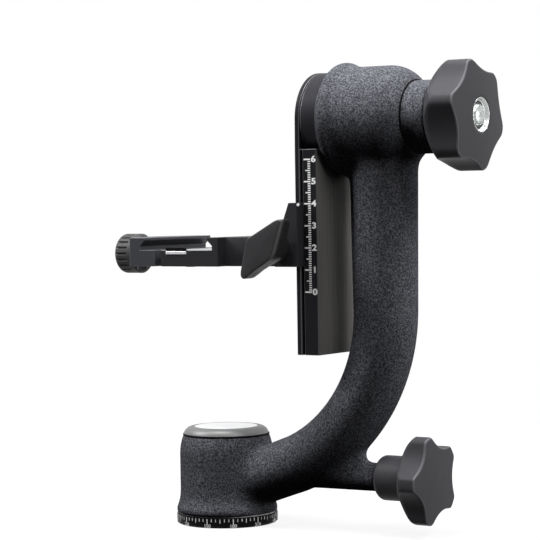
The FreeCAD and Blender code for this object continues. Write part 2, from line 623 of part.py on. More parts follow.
def lock_pads():
    turned("pan_brake_pad", "H_Axis", box_points("pan_pad_start", "0", "pan_pad_end", "pan_pad_radius"),
           z="lock_z")
    turned("tilt_brake_pad", "H_Axis", box_points("tilt_pad_start", "0", "tilt_pad_end", "tilt_pad_radius"),
           z="hub_z")


def lock_screws():
    turned("pan_lock_screw", "H_Axis", [
        ("pan_pad_end", "0"), ("pan_pad_end", "pan_screw_radius - lead"),
        ("pan_pad_end + lead", "pan_screw_radius"),
        ("low_knob_end - low_knob_skin", "pan_screw_radius"), ("low_knob_end - low_knob_skin", "0")],
        z="lock_z")
    turned("tilt_lock_screw", "H_Axis", [
        ("tilt_pad_end", "0"), ("tilt_pad_end", "tilt_screw_radius - lead"),
        ("tilt_pad_end + lead", "tilt_screw_radius"), ("tilt_screw_end", "tilt_screw_radius"),
        ("tilt_screw_end", "0")], z="hub_z")


def lobed_grip(part, knob, face, scallop):
    """A star grip: a domed disc that widens from its root, with a scallop between each two lobes."""
    words = ("start", "end", "dome", "radius", "root", "back")
    start, end, dome, radius, root, back = (f"{knob}_{word}" for word in words)
    spin(part, outline(part, "XZ_Plane", [
        (start, "0"), (start, root), (f"{start} + {back}", radius), (f"{end} - {dome}", radius),
        (end, face), (end, "0")]), "H_Axis")
    middle = f"({knob}_angle + 180 / {knob}_lobes)"
    reach = f"({knob}_waist + {scallop})"
    cutter = rounds(part, "YZ_Plane", (f"{reach} * cos({middle})", f"{reach} * sin({middle})", scallop),
                    offset=f"{end} + past")
    notch = extrude(part, cutter, f"{end} - {start} + 2 * past", "Pocket")
    around(part, [notch], "X_Axis", f"{knob}_lobes")
    low, high, waist = val(f"{start} + {back}"), val(f"{end} - {dome}"), val(f"{knob}_waist")

    def off_axis(edge):
        return abs(complex(edge.BoundBox.Center.y, edge.BoundBox.Center.z)) > waist / 2

    def corner(edge):
        return near(edge.BoundBox.XLength, high - low) and off_axis(edge)

    def rim(edge):
        front = edge.BoundBox.XMin > (low + high) / 2 and not isinstance(edge.Curve, Part.Line)
        return off_axis(edge) and (front or level(edge, "x", low))

    soften(part, "lobe_round", corner)
    soften(part, "knob_edge", rim)


def tilt_knob_grip():
    part = body("tilt_knob_grip", z="hub_z")
    lobed_grip(part, "top_knob", "dish_radius + knob_edge", "top_scallop")
    extrude(part, rounds(part, "YZ_Plane", ("0", "0", "dish_radius"), offset="top_knob_end"),
            "dish_deep + dish_plate", "Pocket")
    extrude(part, rounds(part, "YZ_Plane", ("0", "0", "tilt_screw_radius"), offset="top_knob_start"),
            "tilt_screw_end - top_knob_start", "Pocket", back=True)
    turned("tilt_knob_cap", "H_Axis", [
        ("dish_floor - dish_plate", "0"), ("dish_floor - dish_plate", "dish_radius"),
        ("dish_floor + dish_rim", "dish_radius"), ("dish_floor + dish_rim", "dish_radius - dish_rim"),
        ("dish_floor", "dish_radius - 2 * dish_rim"), ("dish_floor", "nub_radius"),
        ("dish_floor + nub_high", "nub_radius - fine_edge"), ("dish_floor + nub_high", "0")],
        z="hub_z")


def pan_knob_grip():
    part = body("pan_knob_grip", z="lock_z")
    lobed_grip(part, "low_knob", "low_knob_face", "low_scallop")
    boss = outline(part, "XZ_Plane", [
        ("stub_end + face_gap", "0"), ("stub_end + face_gap", "low_knob_boss_tip"),
        ("stub_end + low_knob_boss_cone", "low_knob_boss"), ("low_knob_start + past", "low_knob_boss"),
        ("low_knob_start + past", "0")])
    spin(part, boss, "H_Axis")
    extrude(part, rounds(part, "YZ_Plane", ("0", "0", "pan_screw_radius")), "low_knob_end - low_knob_skin",
            "Pocket", back=True)


# ---- the swing plate and all that turns with it ----

def swing_plate():
    part = body("swing_plate")
    strip = blank_sketch(part, "YZ_Plane", "rail_front")
    draw(strip, [("-rail_half", "rail_bottom"), ("rail_half", "rail_bottom"),
                 ("rail_half", "horn_top"), ("tongue_radius", "hub_z", "-tongue_radius"),
                 ("0", "hub_z + tongue_radius", "-tongue_radius"), ("-tongue_radius", "hub_z"),
                 ("-rail_half", "horn_top")])
    extrude(part, strip, "strip_thick")
    rail = outline(part, "XY_Plane", [
        ("strip_back", "-rail_half"), ("strip_back", "rail_half"),
        ("block_front - fine_edge", "rail_half - groove_deep"),
        ("block_front", "rail_half - groove_deep"), ("block_front", "rail_half"),
        ("block_back", "rail_half"), ("block_back", "-rail_half"),
        ("block_front", "-rail_half"), ("block_front", "groove_deep - rail_half"),
        ("block_front - fine_edge", "groove_deep - rail_half")], offset="rail_bottom")
    extrude(part, rail, "horn_top - rail_bottom")

    # The block's top end is bitten out round the tilt flange, which leaves a horn at each edge.
    extrude(part, rounds(part, "YZ_Plane", ("0", "hub_z", "bite_radius"), offset="strip_back"),
            "block_back - strip_back + past", "Pocket", back=True)

    # The channel that the platform's stop pin runs in, and the screw holes round the tilt axis.
    channel = outline(part, "XZ_Plane", box_points(
        "rail_front - past", "stop_pin_z - travel_down - stop_pin_radius - tip_gap",
        "rail_front + stop_groove_deep", "stop_pin_z + travel_up + stop_pin_radius + tip_gap"))
    extrude(part, channel, "2 * stop_groove_half", "Pocket", both=True)
    extrude(part, rounds(part, "YZ_Plane", ("0", "hub_z", "spindle_bolt_radius"), offset="rail_front"),
            "strip_thick", "Pocket", back=True)
    screws = swing_screw_places("swing_screw_radius + slide_gap")
    extrude(part, rounds(part, "YZ_Plane", *screws, offset="rail_front"), "strip_thick", "Pocket", back=True)
    seats = swing_screw_places("swing_screw_head + slide_gap")
    extrude(part, rounds(part, "YZ_Plane", *seats, offset="rail_front"), "strip_thick - swing_screw_floor",
            "Pocket", back=True)


def swing_screw_places(radius, height="hub_z"):
    """The four screws round the tilt axis, as circles of one radius."""
    return [(f"swing_screw_circle * cos({turn})", f"{height} + swing_screw_circle * sin({turn})", radius)
            for turn in range(45, 360, 90)]


def swing_fasteners():
    part = body("swing_screws")
    head = "rail_front + tip_gap"
    extrude(part, rounds(part, "YZ_Plane", *swing_screw_places("swing_screw_head"), offset=head),
            "strip_thick - swing_screw_floor - tip_gap")
    extrude(part, rounds(part, "YZ_Plane", *swing_screw_places("swing_screw_radius"),
                         offset="strip_back - swing_screw_floor"), "swing_screw_long")
    extrude(part, rounds(part, "YZ_Plane", *swing_screw_places("swing_socket_radius"), offset=head),
            "swing_socket_deep", "Pocket", back=True)
    top = "rail_front - spindle_bolt_high"
    turned("spindle_bolt", "H_Axis", [
        (f"{top} + bolt_socket_deep", "0"), (f"{top} + bolt_socket_deep", "bolt_socket_radius"),
        (top, "bolt_socket_radius"), (top, "spindle_bolt_crown"),
        ("rail_front - spindle_bolt_rim", "spindle_bolt_head"), ("rail_front", "spindle_bolt_head"),
        ("rail_front", "spindle_bolt_radius"), ("rail_front + spindle_bolt_deep", "spindle_bolt_radius"),
        ("rail_front + spindle_bolt_deep", "0")], z="hub_z")


def tilt_axle():
    part = turned("tilt_flange", "H_Axis", [
        ("strip_back", "shaft_radius"), ("strip_back", "flange_radius - lead"),
        ("strip_back + lead", "flange_radius"), ("flange_back - lead", "flange_radius"),
        ("flange_back", "flange_radius - lead"), ("flange_back", "shaft_radius")], z="hub_z")
    holes = swing_screw_places("swing_screw_radius", "0")
    extrude(part, rounds(part, "YZ_Plane", *holes, offset="strip_back"), "swing_screw_long", "Pocket",
            back=True)
    turned("tilt_spindle", "H_Axis", [
        ("strip_back", "spindle_bolt_radius"), ("strip_back", "shaft_radius"),
        ("flange_back", "shaft_radius"),
        ("flange_back", "shoulder_radius"), ("tilt_low", "shoulder_radius"), ("tilt_low", "shaft_radius"),
        ("tilt_washer", "shaft_radius"), ("tilt_washer", "thread_radius"), ("spindle_end", "thread_radius"),
        ("spindle_end", "0"), ("rail_front + spindle_bolt_deep + past", "0"),
        ("rail_front + spindle_bolt_deep + past", "spindle_bolt_radius")], z="hub_z")
    starts = ("tilt_low", "tilt_high")
    bearing_rings("tilt_inner_rings", "H_Axis", starts, "shaft_radius", "shaft_radius + race_wall", z="hub_z")
    bearing_rings("tilt_outer_rings", "H_Axis", starts, "bearing_outer - race_wall", "bearing_outer",
                  z="hub_z")
    bearing_balls("tilt_balls", "X_Axis", starts, z="hub_z")
    turned("hub_spacer", "H_Axis", box_points("tilt_sleeve", "inner_bore", "tilt_high", "bearing_outer"),
           z="hub_z")
    turned("tilt_spacer", "H_Axis", box_points("tilt_sleeve", "shaft_radius", "tilt_high", "sleeve_radius"),
           z="hub_z")
    turned("tilt_washer", "H_Axis", box_points("tilt_washer", "thread_radius", "tilt_nut", "washer_radius"),
           z="hub_z")
    nut = body("tilt_nut", z="hub_z")
    extrude(nut, outline(nut, "YZ_Plane", hexagon("nut_flats"), offset="tilt_nut"), "nut_thick")
    extrude(nut, rounds(nut, "YZ_Plane", ("0", "0", "thread_radius"), offset="tilt_nut"),
            "nut_thick + past", "Pocket", back=True)


# ---- the platform with its two clamps ----

def platform_bracket():
    part = body("platform_bracket")
    clamp = outline(part, "XZ_Plane", [
        ("clamp_left", "plat_bottom"), ("fixed_jaw_outer", "plat_bottom"), ("fixed_jaw_outer", "plat_top"),
        ("fixed_lip", "plat_top"), ("fixed_lip", "plat_top - lip_thick"),
        ("fixed_lip + undercut", "plat_top - lip_thick - undercut"), ("fixed_lip + undercut", "floor_z"),
        ("clamp_left", "floor_z")])
    extrude(part, clamp, "2 * clamp_half", both=True)
    bar = outline(part, "XZ_Plane", [
        ("bar_start", "plat_bottom"), ("wall_start", "plat_bottom"), ("wall_start", "bracket_top"),
        ("bracket_left", "bracket_top"), ("bracket_knee_x", "bracket_knee"), ("bracket_knee_x", "plat_top"),
        ("fixed_lip + undercut", "plat_top"), ("fixed_lip + undercut", "floor_z"), ("bar_start", "floor_z")])
    extrude(part, bar, "2 * bar_half", both=True)
    jaw = outline(part, "XY_Plane", hooked_jaw("bracket_knee_x", "bar_half", "jaw_face", ""),
                  offset="plat_bottom")
    extrude(part, jaw, "bracket_high")
    platform_holes(part)


def hooked_jaw(left, inner, outer, sign):
    """A jaw that hooks round one edge of the dovetail strip, as seen from above."""
    reach = "rail_half + slide_gap"
    tip = "rail_half - groove_deep + face_gap"
    points = [(left, inner), ("wall_start", inner), ("wall_start", reach),
              ("strip_back + slide_gap", reach), ("block_front - slide_gap", tip),
              ("block_front - slide_gap", outer), (left, outer)]
    return [(x, f"{sign}({y})") for x, y in points]


def guide_pins(radius):
    return [("guide_pin_x", height, radius) for height in ("guide_pin_low", "guide_pin_high")]


def pair(y, radius):
    """Two circles at the height of the plate jaw's pins, one each side."""
    return [(side + y, "jaw_pin_z", radius) for side in ("-", "")]


def platform_holes(part):
    wing = rounds(part, "XZ_Plane", ("wing_x", "wing_z", "wing_screw_radius + run_gap"), offset="bar_half")
    extrude(part, wing, "wing_screw_deep", "Pocket")
    extrude(part, rounds(part, "XZ_Plane", *guide_pins("guide_pin_radius"), offset="bar_half"),
            "guide_pin_seat", "Pocket")
    stop = rounds(part, "YZ_Plane", ("0", "stop_pin_z", "stop_pin_radius"), offset="rail_front")
    extrude(part, stop, "stop_pin_long", "Pocket")
    extrude(part, rounds(part, "YZ_Plane", *pair("jaw_pin_y", "jaw_pin_radius"), offset="clamp_left"),
            "jaw_pin_seat", "Pocket", back=True)
    springs = pair("jaw_spring_y", "spring_radius + slide_gap")
    extrude(part, rounds(part, "YZ_Plane", *springs, offset="clamp_left"), "spring_pocket", "Pocket",
            back=True)
    screw = ("0", "plate_knob_z", "clamp_screw_radius + run_gap")
    extrude(part, rounds(part, "YZ_Plane", screw, offset="clamp_left"), "clamp_screw_reach + jaw_part + past",
            "Pocket", back=True)


def platform_pins():
    part = body("stop_pin", z="stop_pin_z")
    start = "rail_front + stop_groove_deep - face_gap"
    extrude(part, rounds(part, "YZ_Plane", ("0", "0", "stop_pin_radius"), offset=start),
            "stop_pin_long + stop_groove_deep - face_gap", back=True)
    part = body("rail_jaw_pins")
    extrude(part, rounds(part, "XZ_Plane", *guide_pins("guide_pin_radius"),
                         offset="bar_half - guide_pin_seat"), "guide_pin_long")
    part = body("plate_jaw_pins")
    extrude(part, rounds(part, "YZ_Plane", *pair("jaw_pin_y", "jaw_pin_radius"),
                         offset="clamp_left + jaw_pin_seat"), "jaw_pin_long", back=True)


def jaw_springs():
    part = body("jaw_springs")
    wire = rounds(part, "XY_Plane", ("jaw_right - spring_pocket + spring_wire / 2",
                                     "jaw_spring_y + spring_radius - spring_wire / 2", "spring_wire / 2"),
                  offset="jaw_pin_z")
    coil = part.newObject("PartDesign::AdditiveHelix", "jaw_springs_coil")
    coil.Profile = wire
    coil.ReferenceAxis = (wire, [level_axis(wire, "jaw_spring_y")])
    coil.Mode = "height-turns-angle"
    bind(coil, "Height", "2 * spring_pocket + jaw_part - spring_wire")
    bind(coil, "Turns", "spring_turns")
    doc.recompute()
    pair = part.newObject("PartDesign::Mirrored", "jaw_springs_pair")
    pair.Originals = [coil]
    pair.MirrorPlane = (plane(part, "XZ_Plane"), [""])
    part.Tip = pair


def rail_jaw():
    part = body("rail_jaw")
    jaw = outline(part, "XY_Plane", hooked_jaw("near_jaw_foot", "bar_half + near_jaw_gap",
                                               "jaw_face", "-"), offset="plat_bottom")
    extrude(part, jaw, "bracket_high")
    slant = outline(part, "XZ_Plane", [
        ("near_jaw_foot - past", "near_jaw_knee"), ("near_jaw_foot", "near_jaw_knee"),
        ("near_jaw_left", "bracket_top"), ("near_jaw_left", "bracket_top + past"),
        ("near_jaw_foot - past", "bracket_top + past")])
    extrude(part, slant, "jaw_face + past", "Pocket", back=True)
    screw = rounds(part, "XZ_Plane", ("wing_x", "wing_z", "wing_screw_radius + run_gap"))
    extrude(part, screw, "jaw_face + past", "Pocket", back=True)
    extrude(part, rounds(part, "XZ_Plane", *guide_pins("guide_pin_radius + run_gap")),
            "bar_half - guide_pin_seat + guide_pin_long + spare", "Pocket", back=True)
    inlay = rounds(part, "XZ_Plane", ("dot_x", "dot_z", "dot_radius"), offset="jaw_face")
    extrude(part, inlay, "dot_thick - dot_proud", "Pocket")
    dot = body("index_dot")
    extrude(dot, rounds(dot, "XZ_Plane", ("dot_x", "dot_z", "dot_radius"),
                        offset="jaw_face + dot_proud - dot_thick"), "dot_thick")


def wing_knob():
    spot = {"x": "wing_x", "z": "wing_z"}
    part = body("wing_grip", turn=((0, 1, 0), "wing_angle"), **spot)
    extrude(part, outline(part, "XZ_Plane", [
        ("-wing_end_half", "-wing_long"), ("wing_end_half", "-wing_long"), ("wing_half", "0"),
        ("wing_end_half", "wing_long"), ("-wing_end_half", "wing_long"), ("-wing_half", "0")],
        offset="wing_back"), "wing_thick")
    low, high = -val("wing_front"), -val("wing_back")
    soften(part, "wing_corner", lambda edge: near(edge.BoundBox.YLength, high - low))
    soften(part, "wing_edge", lambda edge: level(edge, "y", low) or level(edge, "y", high))
    spin(part, outline(part, "XY_Plane", [
        ("0", "-wing_boss_start"), ("wing_boss_tip", "-wing_boss_start"),
        ("wing_boss_radius", "-wing_boss_full"), ("wing_boss_radius", "-wing_back - past"),
        ("0", "-wing_back - past")]), "V_Axis")
    extrude(part, rounds(part, "XZ_Plane", ("0", "0", "wing_screw_radius"), offset="wing_screw_end"),
            "wing_screw_end - bar_half", "Pocket")
    part = body("wing_screw", **spot)
    spin(part, outline(part, "XY_Plane", box_points(
        "0", "-wing_screw_end", "wing_screw_radius", "wing_screw_deep - bar_half - past")), "V_Axis")
    part = body("wing_washer", **spot)
    spin(part, outline(part, "XY_Plane", box_points(
        "wing_screw_radius", "-wing_boss_start", "wing_washer_radius", "-wing_boss_start + washer_wall")),
        "V_Axis")


def plate_jaw():
    part = body("plate_jaw")
    plan = outline(part, "XY_Plane", [
        ("jaw_right", "-clamp_half"), ("jaw_right", "clamp_half"), ("jaw_shoulder", "clamp_half"),
        ("jaw_nose", "nose_half"), ("jaw_nose", "-nose_half"), ("jaw_shoulder", "-clamp_half")],
        offset="plat_bottom")
    extrude(part, plan, "plat_thick")
    seat = outline(part, "XZ_Plane", [
        ("jaw_tip + undercut", "plat_top + past"), ("jaw_tip + undercut", "plat_top - lip_thick"),
        ("jaw_tip", "plat_top - lip_thick - undercut"), ("jaw_tip", "floor_z"),
        ("jaw_right + past", "floor_z"), ("jaw_right + past", "plat_top + past")])
    extrude(part, seat, "2 * (clamp_half + past)", "Pocket", both=True)
    extrude(part, rounds(part, "YZ_Plane", *pair("jaw_pin_y", "jaw_pin_radius + run_gap"),
                         offset="jaw_right"), "jaw_pin_long - jaw_pin_seat + past", "Pocket")
    extrude(part, rounds(part, "YZ_Plane", *pair("jaw_spring_y", "spring_radius + slide_gap"),
                         offset="jaw_right"), "spring_pocket", "Pocket")
    screw = ("0", "plate_knob_z", "clamp_screw_radius + run_gap")
    extrude(part, rounds(part, "YZ_Plane", screw, offset="jaw_right"), "jaw_right - jaw_nose + past",
            "Pocket")
    spots = [("under_screw_x", y) for y in ("-under_screw_y", "under_screw_y")]
    shanks = [(*spot, "under_shank_radius") for spot in spots]
    extrude(part, rounds(part, "XY_Plane", *shanks, offset="plat_bottom"), "under_screw_long", "Pocket",
            back=True)
    under = body("under_screws")
    extrude(under, rounds(under, "XY_Plane", *shanks, offset="plat_bottom"), "under_screw_long")
    heads = [(*spot, "under_screw_radius") for spot in spots]
    extrude(under, rounds(under, "XY_Plane", *heads, offset="plat_bottom"), "under_screw_high", back=True)


def plate_knob():
    spot = {"z": "plate_knob_z"}
    part = turned("plate_knob_grip", "H_Axis", [
        ("knob_start", "clamp_screw_radius"), ("knob_start", "plate_knob_radius - knob_lead"),
        ("knob_start - knob_lead", "plate_knob_radius"),
        ("knob_end + knob_cone", "plate_knob_radius", "-knob_cone"),
        ("knob_end", "plate_knob_radius - knob_cone"), ("knob_end", "0"),
        ("knob_screw_end", "0"), ("knob_screw_end", "clamp_screw_radius")], **spot)
    rib = extrude(part, rounds(part, "YZ_Plane", ("0", "plate_knob_radius + rib_radius / 2", "rib_radius"),
                               offset="knob_start - rib_start"), "plate_knob_long", "Pocket")
    around(part, [rib], "X_Axis", "plate_knob_ribs")
    turned("plate_knob_screw", "H_Axis", box_points(
        "knob_screw_end", "0", "clamp_left + clamp_screw_reach", "clamp_screw_radius"), **spot)
    turned("plate_knob_washer", "H_Axis", box_points(
        "knob_start", "clamp_screw_radius", "jaw_nose - tip_gap", "plate_washer_radius"), **spot)


def level_axis(sketch, height):
    """A construction line along X at the height, for a sketch to be spun about."""
    ends = Vector(0, val(height), 0), Vector(val("arm_radius"), val(height), 0)
    axis = sketch.addGeometry(Part.LineSegment(*ends), True)
    pin_point(sketch, axis, 1, "0", height)
    pin_point(sketch, axis, 2, "arm_radius", height)
    return "Axis0"


def main():
    base_plate()
    base_screws()
    tripod_bush()
    dial_ring()
    pan_spindle()
    glide_washer()
    pan_bearings()
    c_arm()
    base_cap()
    hub_collar()
    lock_pads()
    lock_screws()
    tilt_knob_grip()
    pan_knob_grip()
    swing_plate()
    swing_fasteners()
    tilt_axle()
    platform_bracket()
    platform_pins()
    jaw_springs()
    rail_jaw()
    wing_knob()
    plate_jaw()
    plate_knob()


main()
doc.recompute()
broken = [item.Label for item in doc.Objects if {"Invalid", "Error"} & set(item.State)]
if broken:
    raise SystemExit("failed: " + ", ".join(broken))
os.makedirs("parts", exist_ok=True)
for label, part in parts.items():
    if part.Shape.isNull() or not part.Shape.isValid():
        raise SystemExit("bad shape: " + label)
    part.Shape.exportStep(f"parts/{label}.step")
    print(label, len(part.Shape.Solids), round(part.Shape.Volume, 2))
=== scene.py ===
import json
import math

import bmesh
import bpy
import numpy as np
from mathutils import Euler, Matrix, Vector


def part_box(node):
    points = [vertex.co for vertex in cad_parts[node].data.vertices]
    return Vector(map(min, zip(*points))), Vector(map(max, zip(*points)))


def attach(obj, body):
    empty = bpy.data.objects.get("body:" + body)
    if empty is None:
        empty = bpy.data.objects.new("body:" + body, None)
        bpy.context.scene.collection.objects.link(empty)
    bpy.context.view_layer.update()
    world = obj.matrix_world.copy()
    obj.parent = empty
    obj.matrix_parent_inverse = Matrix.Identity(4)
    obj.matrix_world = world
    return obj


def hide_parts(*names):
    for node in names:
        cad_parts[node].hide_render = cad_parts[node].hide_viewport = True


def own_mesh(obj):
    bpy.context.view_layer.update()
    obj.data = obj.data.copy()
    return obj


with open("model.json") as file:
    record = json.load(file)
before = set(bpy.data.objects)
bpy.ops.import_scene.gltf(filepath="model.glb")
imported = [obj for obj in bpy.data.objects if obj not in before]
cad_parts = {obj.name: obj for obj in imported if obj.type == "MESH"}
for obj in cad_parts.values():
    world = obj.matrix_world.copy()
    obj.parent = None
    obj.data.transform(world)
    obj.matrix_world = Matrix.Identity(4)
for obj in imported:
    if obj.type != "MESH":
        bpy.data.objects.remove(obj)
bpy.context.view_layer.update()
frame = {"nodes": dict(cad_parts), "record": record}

nodes = frame["nodes"]
mm = 0.001
bodyOf = {name: body for body, members in frame["record"]["behaviour"]["bodies"].items() for name in members}
print("frame loaded,", len(nodes), "nodes")


class Wire:
    # a shader socket: + - * / on it make the Math nodes
    def __init__(self, tree, socket):
        self.tree, self.socket = tree, socket

    def node(self, kind, values=None, out=0, **settings):
        made = self.tree.nodes.new("ShaderNode" + kind)
        for name, value in settings.items():
            setattr(made, name, value)
        for name, value in (values or {}).items():
            socket = made.inputs[name]
            if isinstance(value, Wire):
                self.tree.links.new(value.socket, socket)
            elif isinstance(value, bpy.types.NodeSocket):
                self.tree.links.new(value, socket)
            else:
                socket.default_value = value
        return Wire(self.tree, made.outputs[out])

    def maths(self, operation, first, second=0.0):
        return self.node("Math", {0: first, 1: second}, operation=operation)

    def __add__(self, other):
        return self.maths("ADD", self, other)

    def __sub__(self, other):
        return self.maths("SUBTRACT", self, other)

    def __mul__(self, other):
        return self.maths("MULTIPLY", self, other)

    def __truediv__(self, other):
        return self.maths("DIVIDE", self, other)

    def __pow__(self, other):
        return self.maths("POWER", self, other)

    def __radd__(self, other):
        return self.maths("ADD", other, self)

    def __rsub__(self, other):
        return self.maths("SUBTRACT", other, self)

    def __rmul__(self, other):
        return self.maths("MULTIPLY", other, self)

    def __gt__(self, other):
        return self.maths("GREATER_THAN", self, other)

    def __lt__(self, other):
        return self.maths("LESS_THAN", self, other)

    def clamped(self):
        return self.node("Clamp", {0: self})


class Finish:
    # a material with one Principled shader; its maths starts from Object coordinates
    def __init__(self, name, colour, roughness, metallic=0.0, **sockets):
        self.material = bpy.data.materials.new(name)
        self.material.use_nodes = True
        self.tree = self.material.node_tree
        self.shader = self.tree.nodes["Principled BSDF"]
        self.place = Wire(self.tree, self.tree.nodes.new("ShaderNodeTexCoord").outputs["Object"])
        self.set("Base Color", (*colour, 1))
        self.set("Roughness", roughness)
        self.set("Metallic", metallic)
        for socket, value in sockets.items():
            self.set(socket.replace("_", " "), value)

    def set(self, socket, value):
        if isinstance(value, Wire):
            self.tree.links.new(value.socket, self.shader.inputs[socket])
        else:
            self.shader.inputs[socket].default_value = value

    def axis(self, index):
        return self.place.node("SeparateXYZ", {0: self.place}, out=index)

    def noise(self, size, detail=2.0, rough=0.5, stretch=(1, 1, 1)):
        # features about size metres wide
        spot = self.place.node("Mapping", {"Vector": self.place, "Scale": stretch})
        return self.place.node("TexNoise", {"Vector": spot, "Scale": 1 / size, "Detail": detail,
                                            "Roughness": rough})

    def mix(self, factor, first, second):
        return self.place.node("Mix", {0: factor, 6: (*first, 1) if isinstance(first, tuple) else first,
                                       7: (*second, 1) if isinstance(second, tuple) else second},
                               out=2, data_type="RGBA")

    def bump(self, height, deep, strength):
        return self.place.node("Bump", {"Height": height, "Distance": deep, "Strength": strength})


def scaled(colour, gain, lift=0.0):
    # a colour made paler or darker
    return tuple(gain * part + lift for part in colour)


def reachOf(first, second):
    # the distance from an axis, out of the two coordinates across it
    return (first * first + second * second) ** 0.5


print("shader helpers ready")


# the cast arm's paint: wrinkles under a millimetre wide with slow lumps under them
crinkle = {"dark": (0.032, 0.033, 0.038), "light": (0.210, 0.215, 0.240), "grain": 0.75 * mm,
           "lump": 3.4 * mm, "sheen": 0.0, "rough": 0.55, "roughDrop": 0.1, "roughGrain": 0.3,
           "speckFrom": 0.40, "speckGain": 3.4, "speckShare": 0.45, "lumpShare": 0.6,
           "lumpHeight": 0.35, "deep": 0.20 * mm, "bump": 0.9}


def crinklePaint(name):
    paint = Finish(name, crinkle["dark"], crinkle["rough"], Specular_IOR_Level=crinkle["sheen"])
    fine = paint.noise(crinkle["grain"], detail=3.0, rough=0.6)
    lump = paint.noise(crinkle["lump"], detail=2.0)
    speck = ((fine - crinkle["speckFrom"]) * crinkle["speckGain"]).clamped()
    share = speck * (crinkle["speckShare"] + crinkle["lumpShare"] * lump)
    paint.set("Base Color", paint.mix(share, crinkle["dark"], crinkle["light"]))
    paint.set("Roughness", crinkle["rough"] - crinkle["roughDrop"] + crinkle["roughGrain"] * fine)
    paint.set("Normal", paint.bump(fine + crinkle["lumpHeight"] * lump, crinkle["deep"], crinkle["bump"]))
    return paint


# the lines and cloud of anodised metal
drawn = {"line": 0.16 * mm, "stretch": 0.03, "cloud": 9 * mm, "lineShare": 0.6, "cloudShare": 0.4,
         "pale": 1.5, "lift": 0.002, "roughDrop": 0.07, "roughLine": 0.10, "roughCloud": 0.06,
         "deep": 0.008 * mm, "bump": 0.5}


def anodised(name, colour, rough=0.42, grainAxis=2, metallic=0.3, sheen=0.3):
    # fine drawn lines along one axis, and a slow cloud in the tone
    metal = Finish(name, colour, rough, metallic, Specular_IOR_Level=sheen)
    stretch = [1.0, 1.0, 1.0]
    stretch[grainAxis] = drawn["stretch"]
    lines = metal.noise(drawn["line"], stretch=tuple(stretch))
    cloud = metal.noise(drawn["cloud"])
    share = (drawn["lineShare"] * lines + drawn["cloudShare"] * cloud).clamped()
    metal.set("Base Color", metal.mix(share, colour, scaled(colour, drawn["pale"], drawn["lift"])))
    metal.set("Roughness", rough - drawn["roughDrop"] + drawn["roughLine"] * lines
              + drawn["roughCloud"] * cloud)
    metal.set("Normal", metal.bump(lines, drawn["deep"], drawn["bump"]))
    return metal


# the grain and cloud of moulded plastic
moulded = {"cloud": 7 * mm, "share": 0.5, "pale": 1.35, "lift": 0.002, "highlightShare": 0.8,
           "roughDrop": 0.08, "roughGrain": 0.16, "deep": 0.012 * mm, "bump": 0.8}


def mouldedPlastic(name, colour, rough=0.48, grain=0.35 * mm, sheen=0.15, edgeHighlight=None):
    # a fine spark-eroded grain from the mould, with slow shifts in tone; the rounded edges get a painted
    # highlight
    plastic = Finish(name, colour, rough, Specular_IOR_Level=sheen)
    fine = plastic.noise(grain, detail=2.0, rough=0.6)
    cloud = plastic.noise(moulded["cloud"], detail=3.0)
    share = (moulded["share"] * fine + moulded["share"] * cloud).clamped()
    tone = plastic.mix(share, colour, scaled(colour, moulded["pale"], moulded["lift"]))
    if edgeHighlight:
        # painted highlight: the rows of the rounded edge are paler
        edge = plastic.place.node("Attribute", attribute_name="edge", out="Fac")
        tone = plastic.mix(edge * moulded["highlightShare"], tone, edgeHighlight)
    plastic.set("Base Color", tone)
    plastic.set("Roughness", rough - moulded["roughDrop"] + moulded["roughGrain"] * fine)
    plastic.set("Normal", plastic.bump(fine, moulded["deep"], moulded["bump"]))
    return plastic


# the rings and haze of turned metal
turned = {"pitch": 0.25 * mm, "haze": 1.5 * mm, "dull": 0.78, "share": 0.4, "ringShare": 0.25,
          "hazeShare": 0.3, "roughHaze": 0.10, "deep": 0.006 * mm, "bump": 0.5}


def turnedMetal(name, colour, rough, metallic=1.0):
    # fine rings round the upright axis through the origin
    metal = Finish(name, colour, rough, metallic)
    radius = reachOf(metal.axis(0), metal.axis(1))
    rings = radius.node("Math", {0: radius * (2 * math.pi / turned["pitch"])}, operation="SINE")
    haze = metal.noise(turned["haze"], detail=3.0)
    share = (turned["share"] + turned["ringShare"] * rings + turned["hazeShare"] * haze).clamped()
    metal.set("Base Color", metal.mix(share, scaled(colour, turned["dull"]), colour))
    metal.set("Roughness", rough + turned["roughHaze"] * haze)
    metal.set("Normal", metal.bump(rings, turned["deep"], turned["bump"]))
    return metal


def between(place, low, high):
    # 1 where a coordinate lies between two values
    return (place > low) * (place < high)


railLook = {"colour": (0.010, 0.010, 0.012), "bright": (0.158, 0.155, 0.145), "face": 66.4 * mm,
            "line": 0.5 * mm, "stretch": 0.012, "from": 0.3, "gain": 2.2, "dull": 0.6}


def railFinish():
    # black anodising, with the broad face brushed paler along its length
    rail = anodised("rail_black", railLook["colour"], 0.42, metallic=0.1, sheen=0.07)
    lines = rail.noise(railLook["line"], detail=3.0, stretch=(1, 1, railLook["stretch"]))
    front = rail.axis(0) > railLook["face"]
    share = ((lines - railLook["from"]) * railLook["gain"]).clamped()
    brushed = rail.mix(share, scaled(railLook["bright"], railLook["dull"]), railLook["bright"])
    rail.set("Base Color", rail.mix(front, railLook["colour"], brushed))
    return rail


clampLook = {"colour": (0.026, 0.026, 0.029), "bare": (0.20, 0.205, 0.205), "floor": 130.4 * mm,
             "left": -17.2 * mm, "right": 12.2 * mm, "skin": 0.12 * mm}


def clampFinish():
    # dark anodising; the floor of the plate's groove is machined bare
    clamp = anodised("clamp_dark", clampLook["colour"], 0.42, grainAxis=0, metallic=0.1, sheen=0.08)
    skin = clampLook["skin"]
    bare = (between(clamp.axis(2), clampLook["floor"] - skin, clampLook["floor"] + skin)
            * between(clamp.axis(0), clampLook["left"], clampLook["right"]))
    clamp.set("Base Color", clamp.mix(bare, clampLook["colour"], clampLook["bare"]))
    return clamp


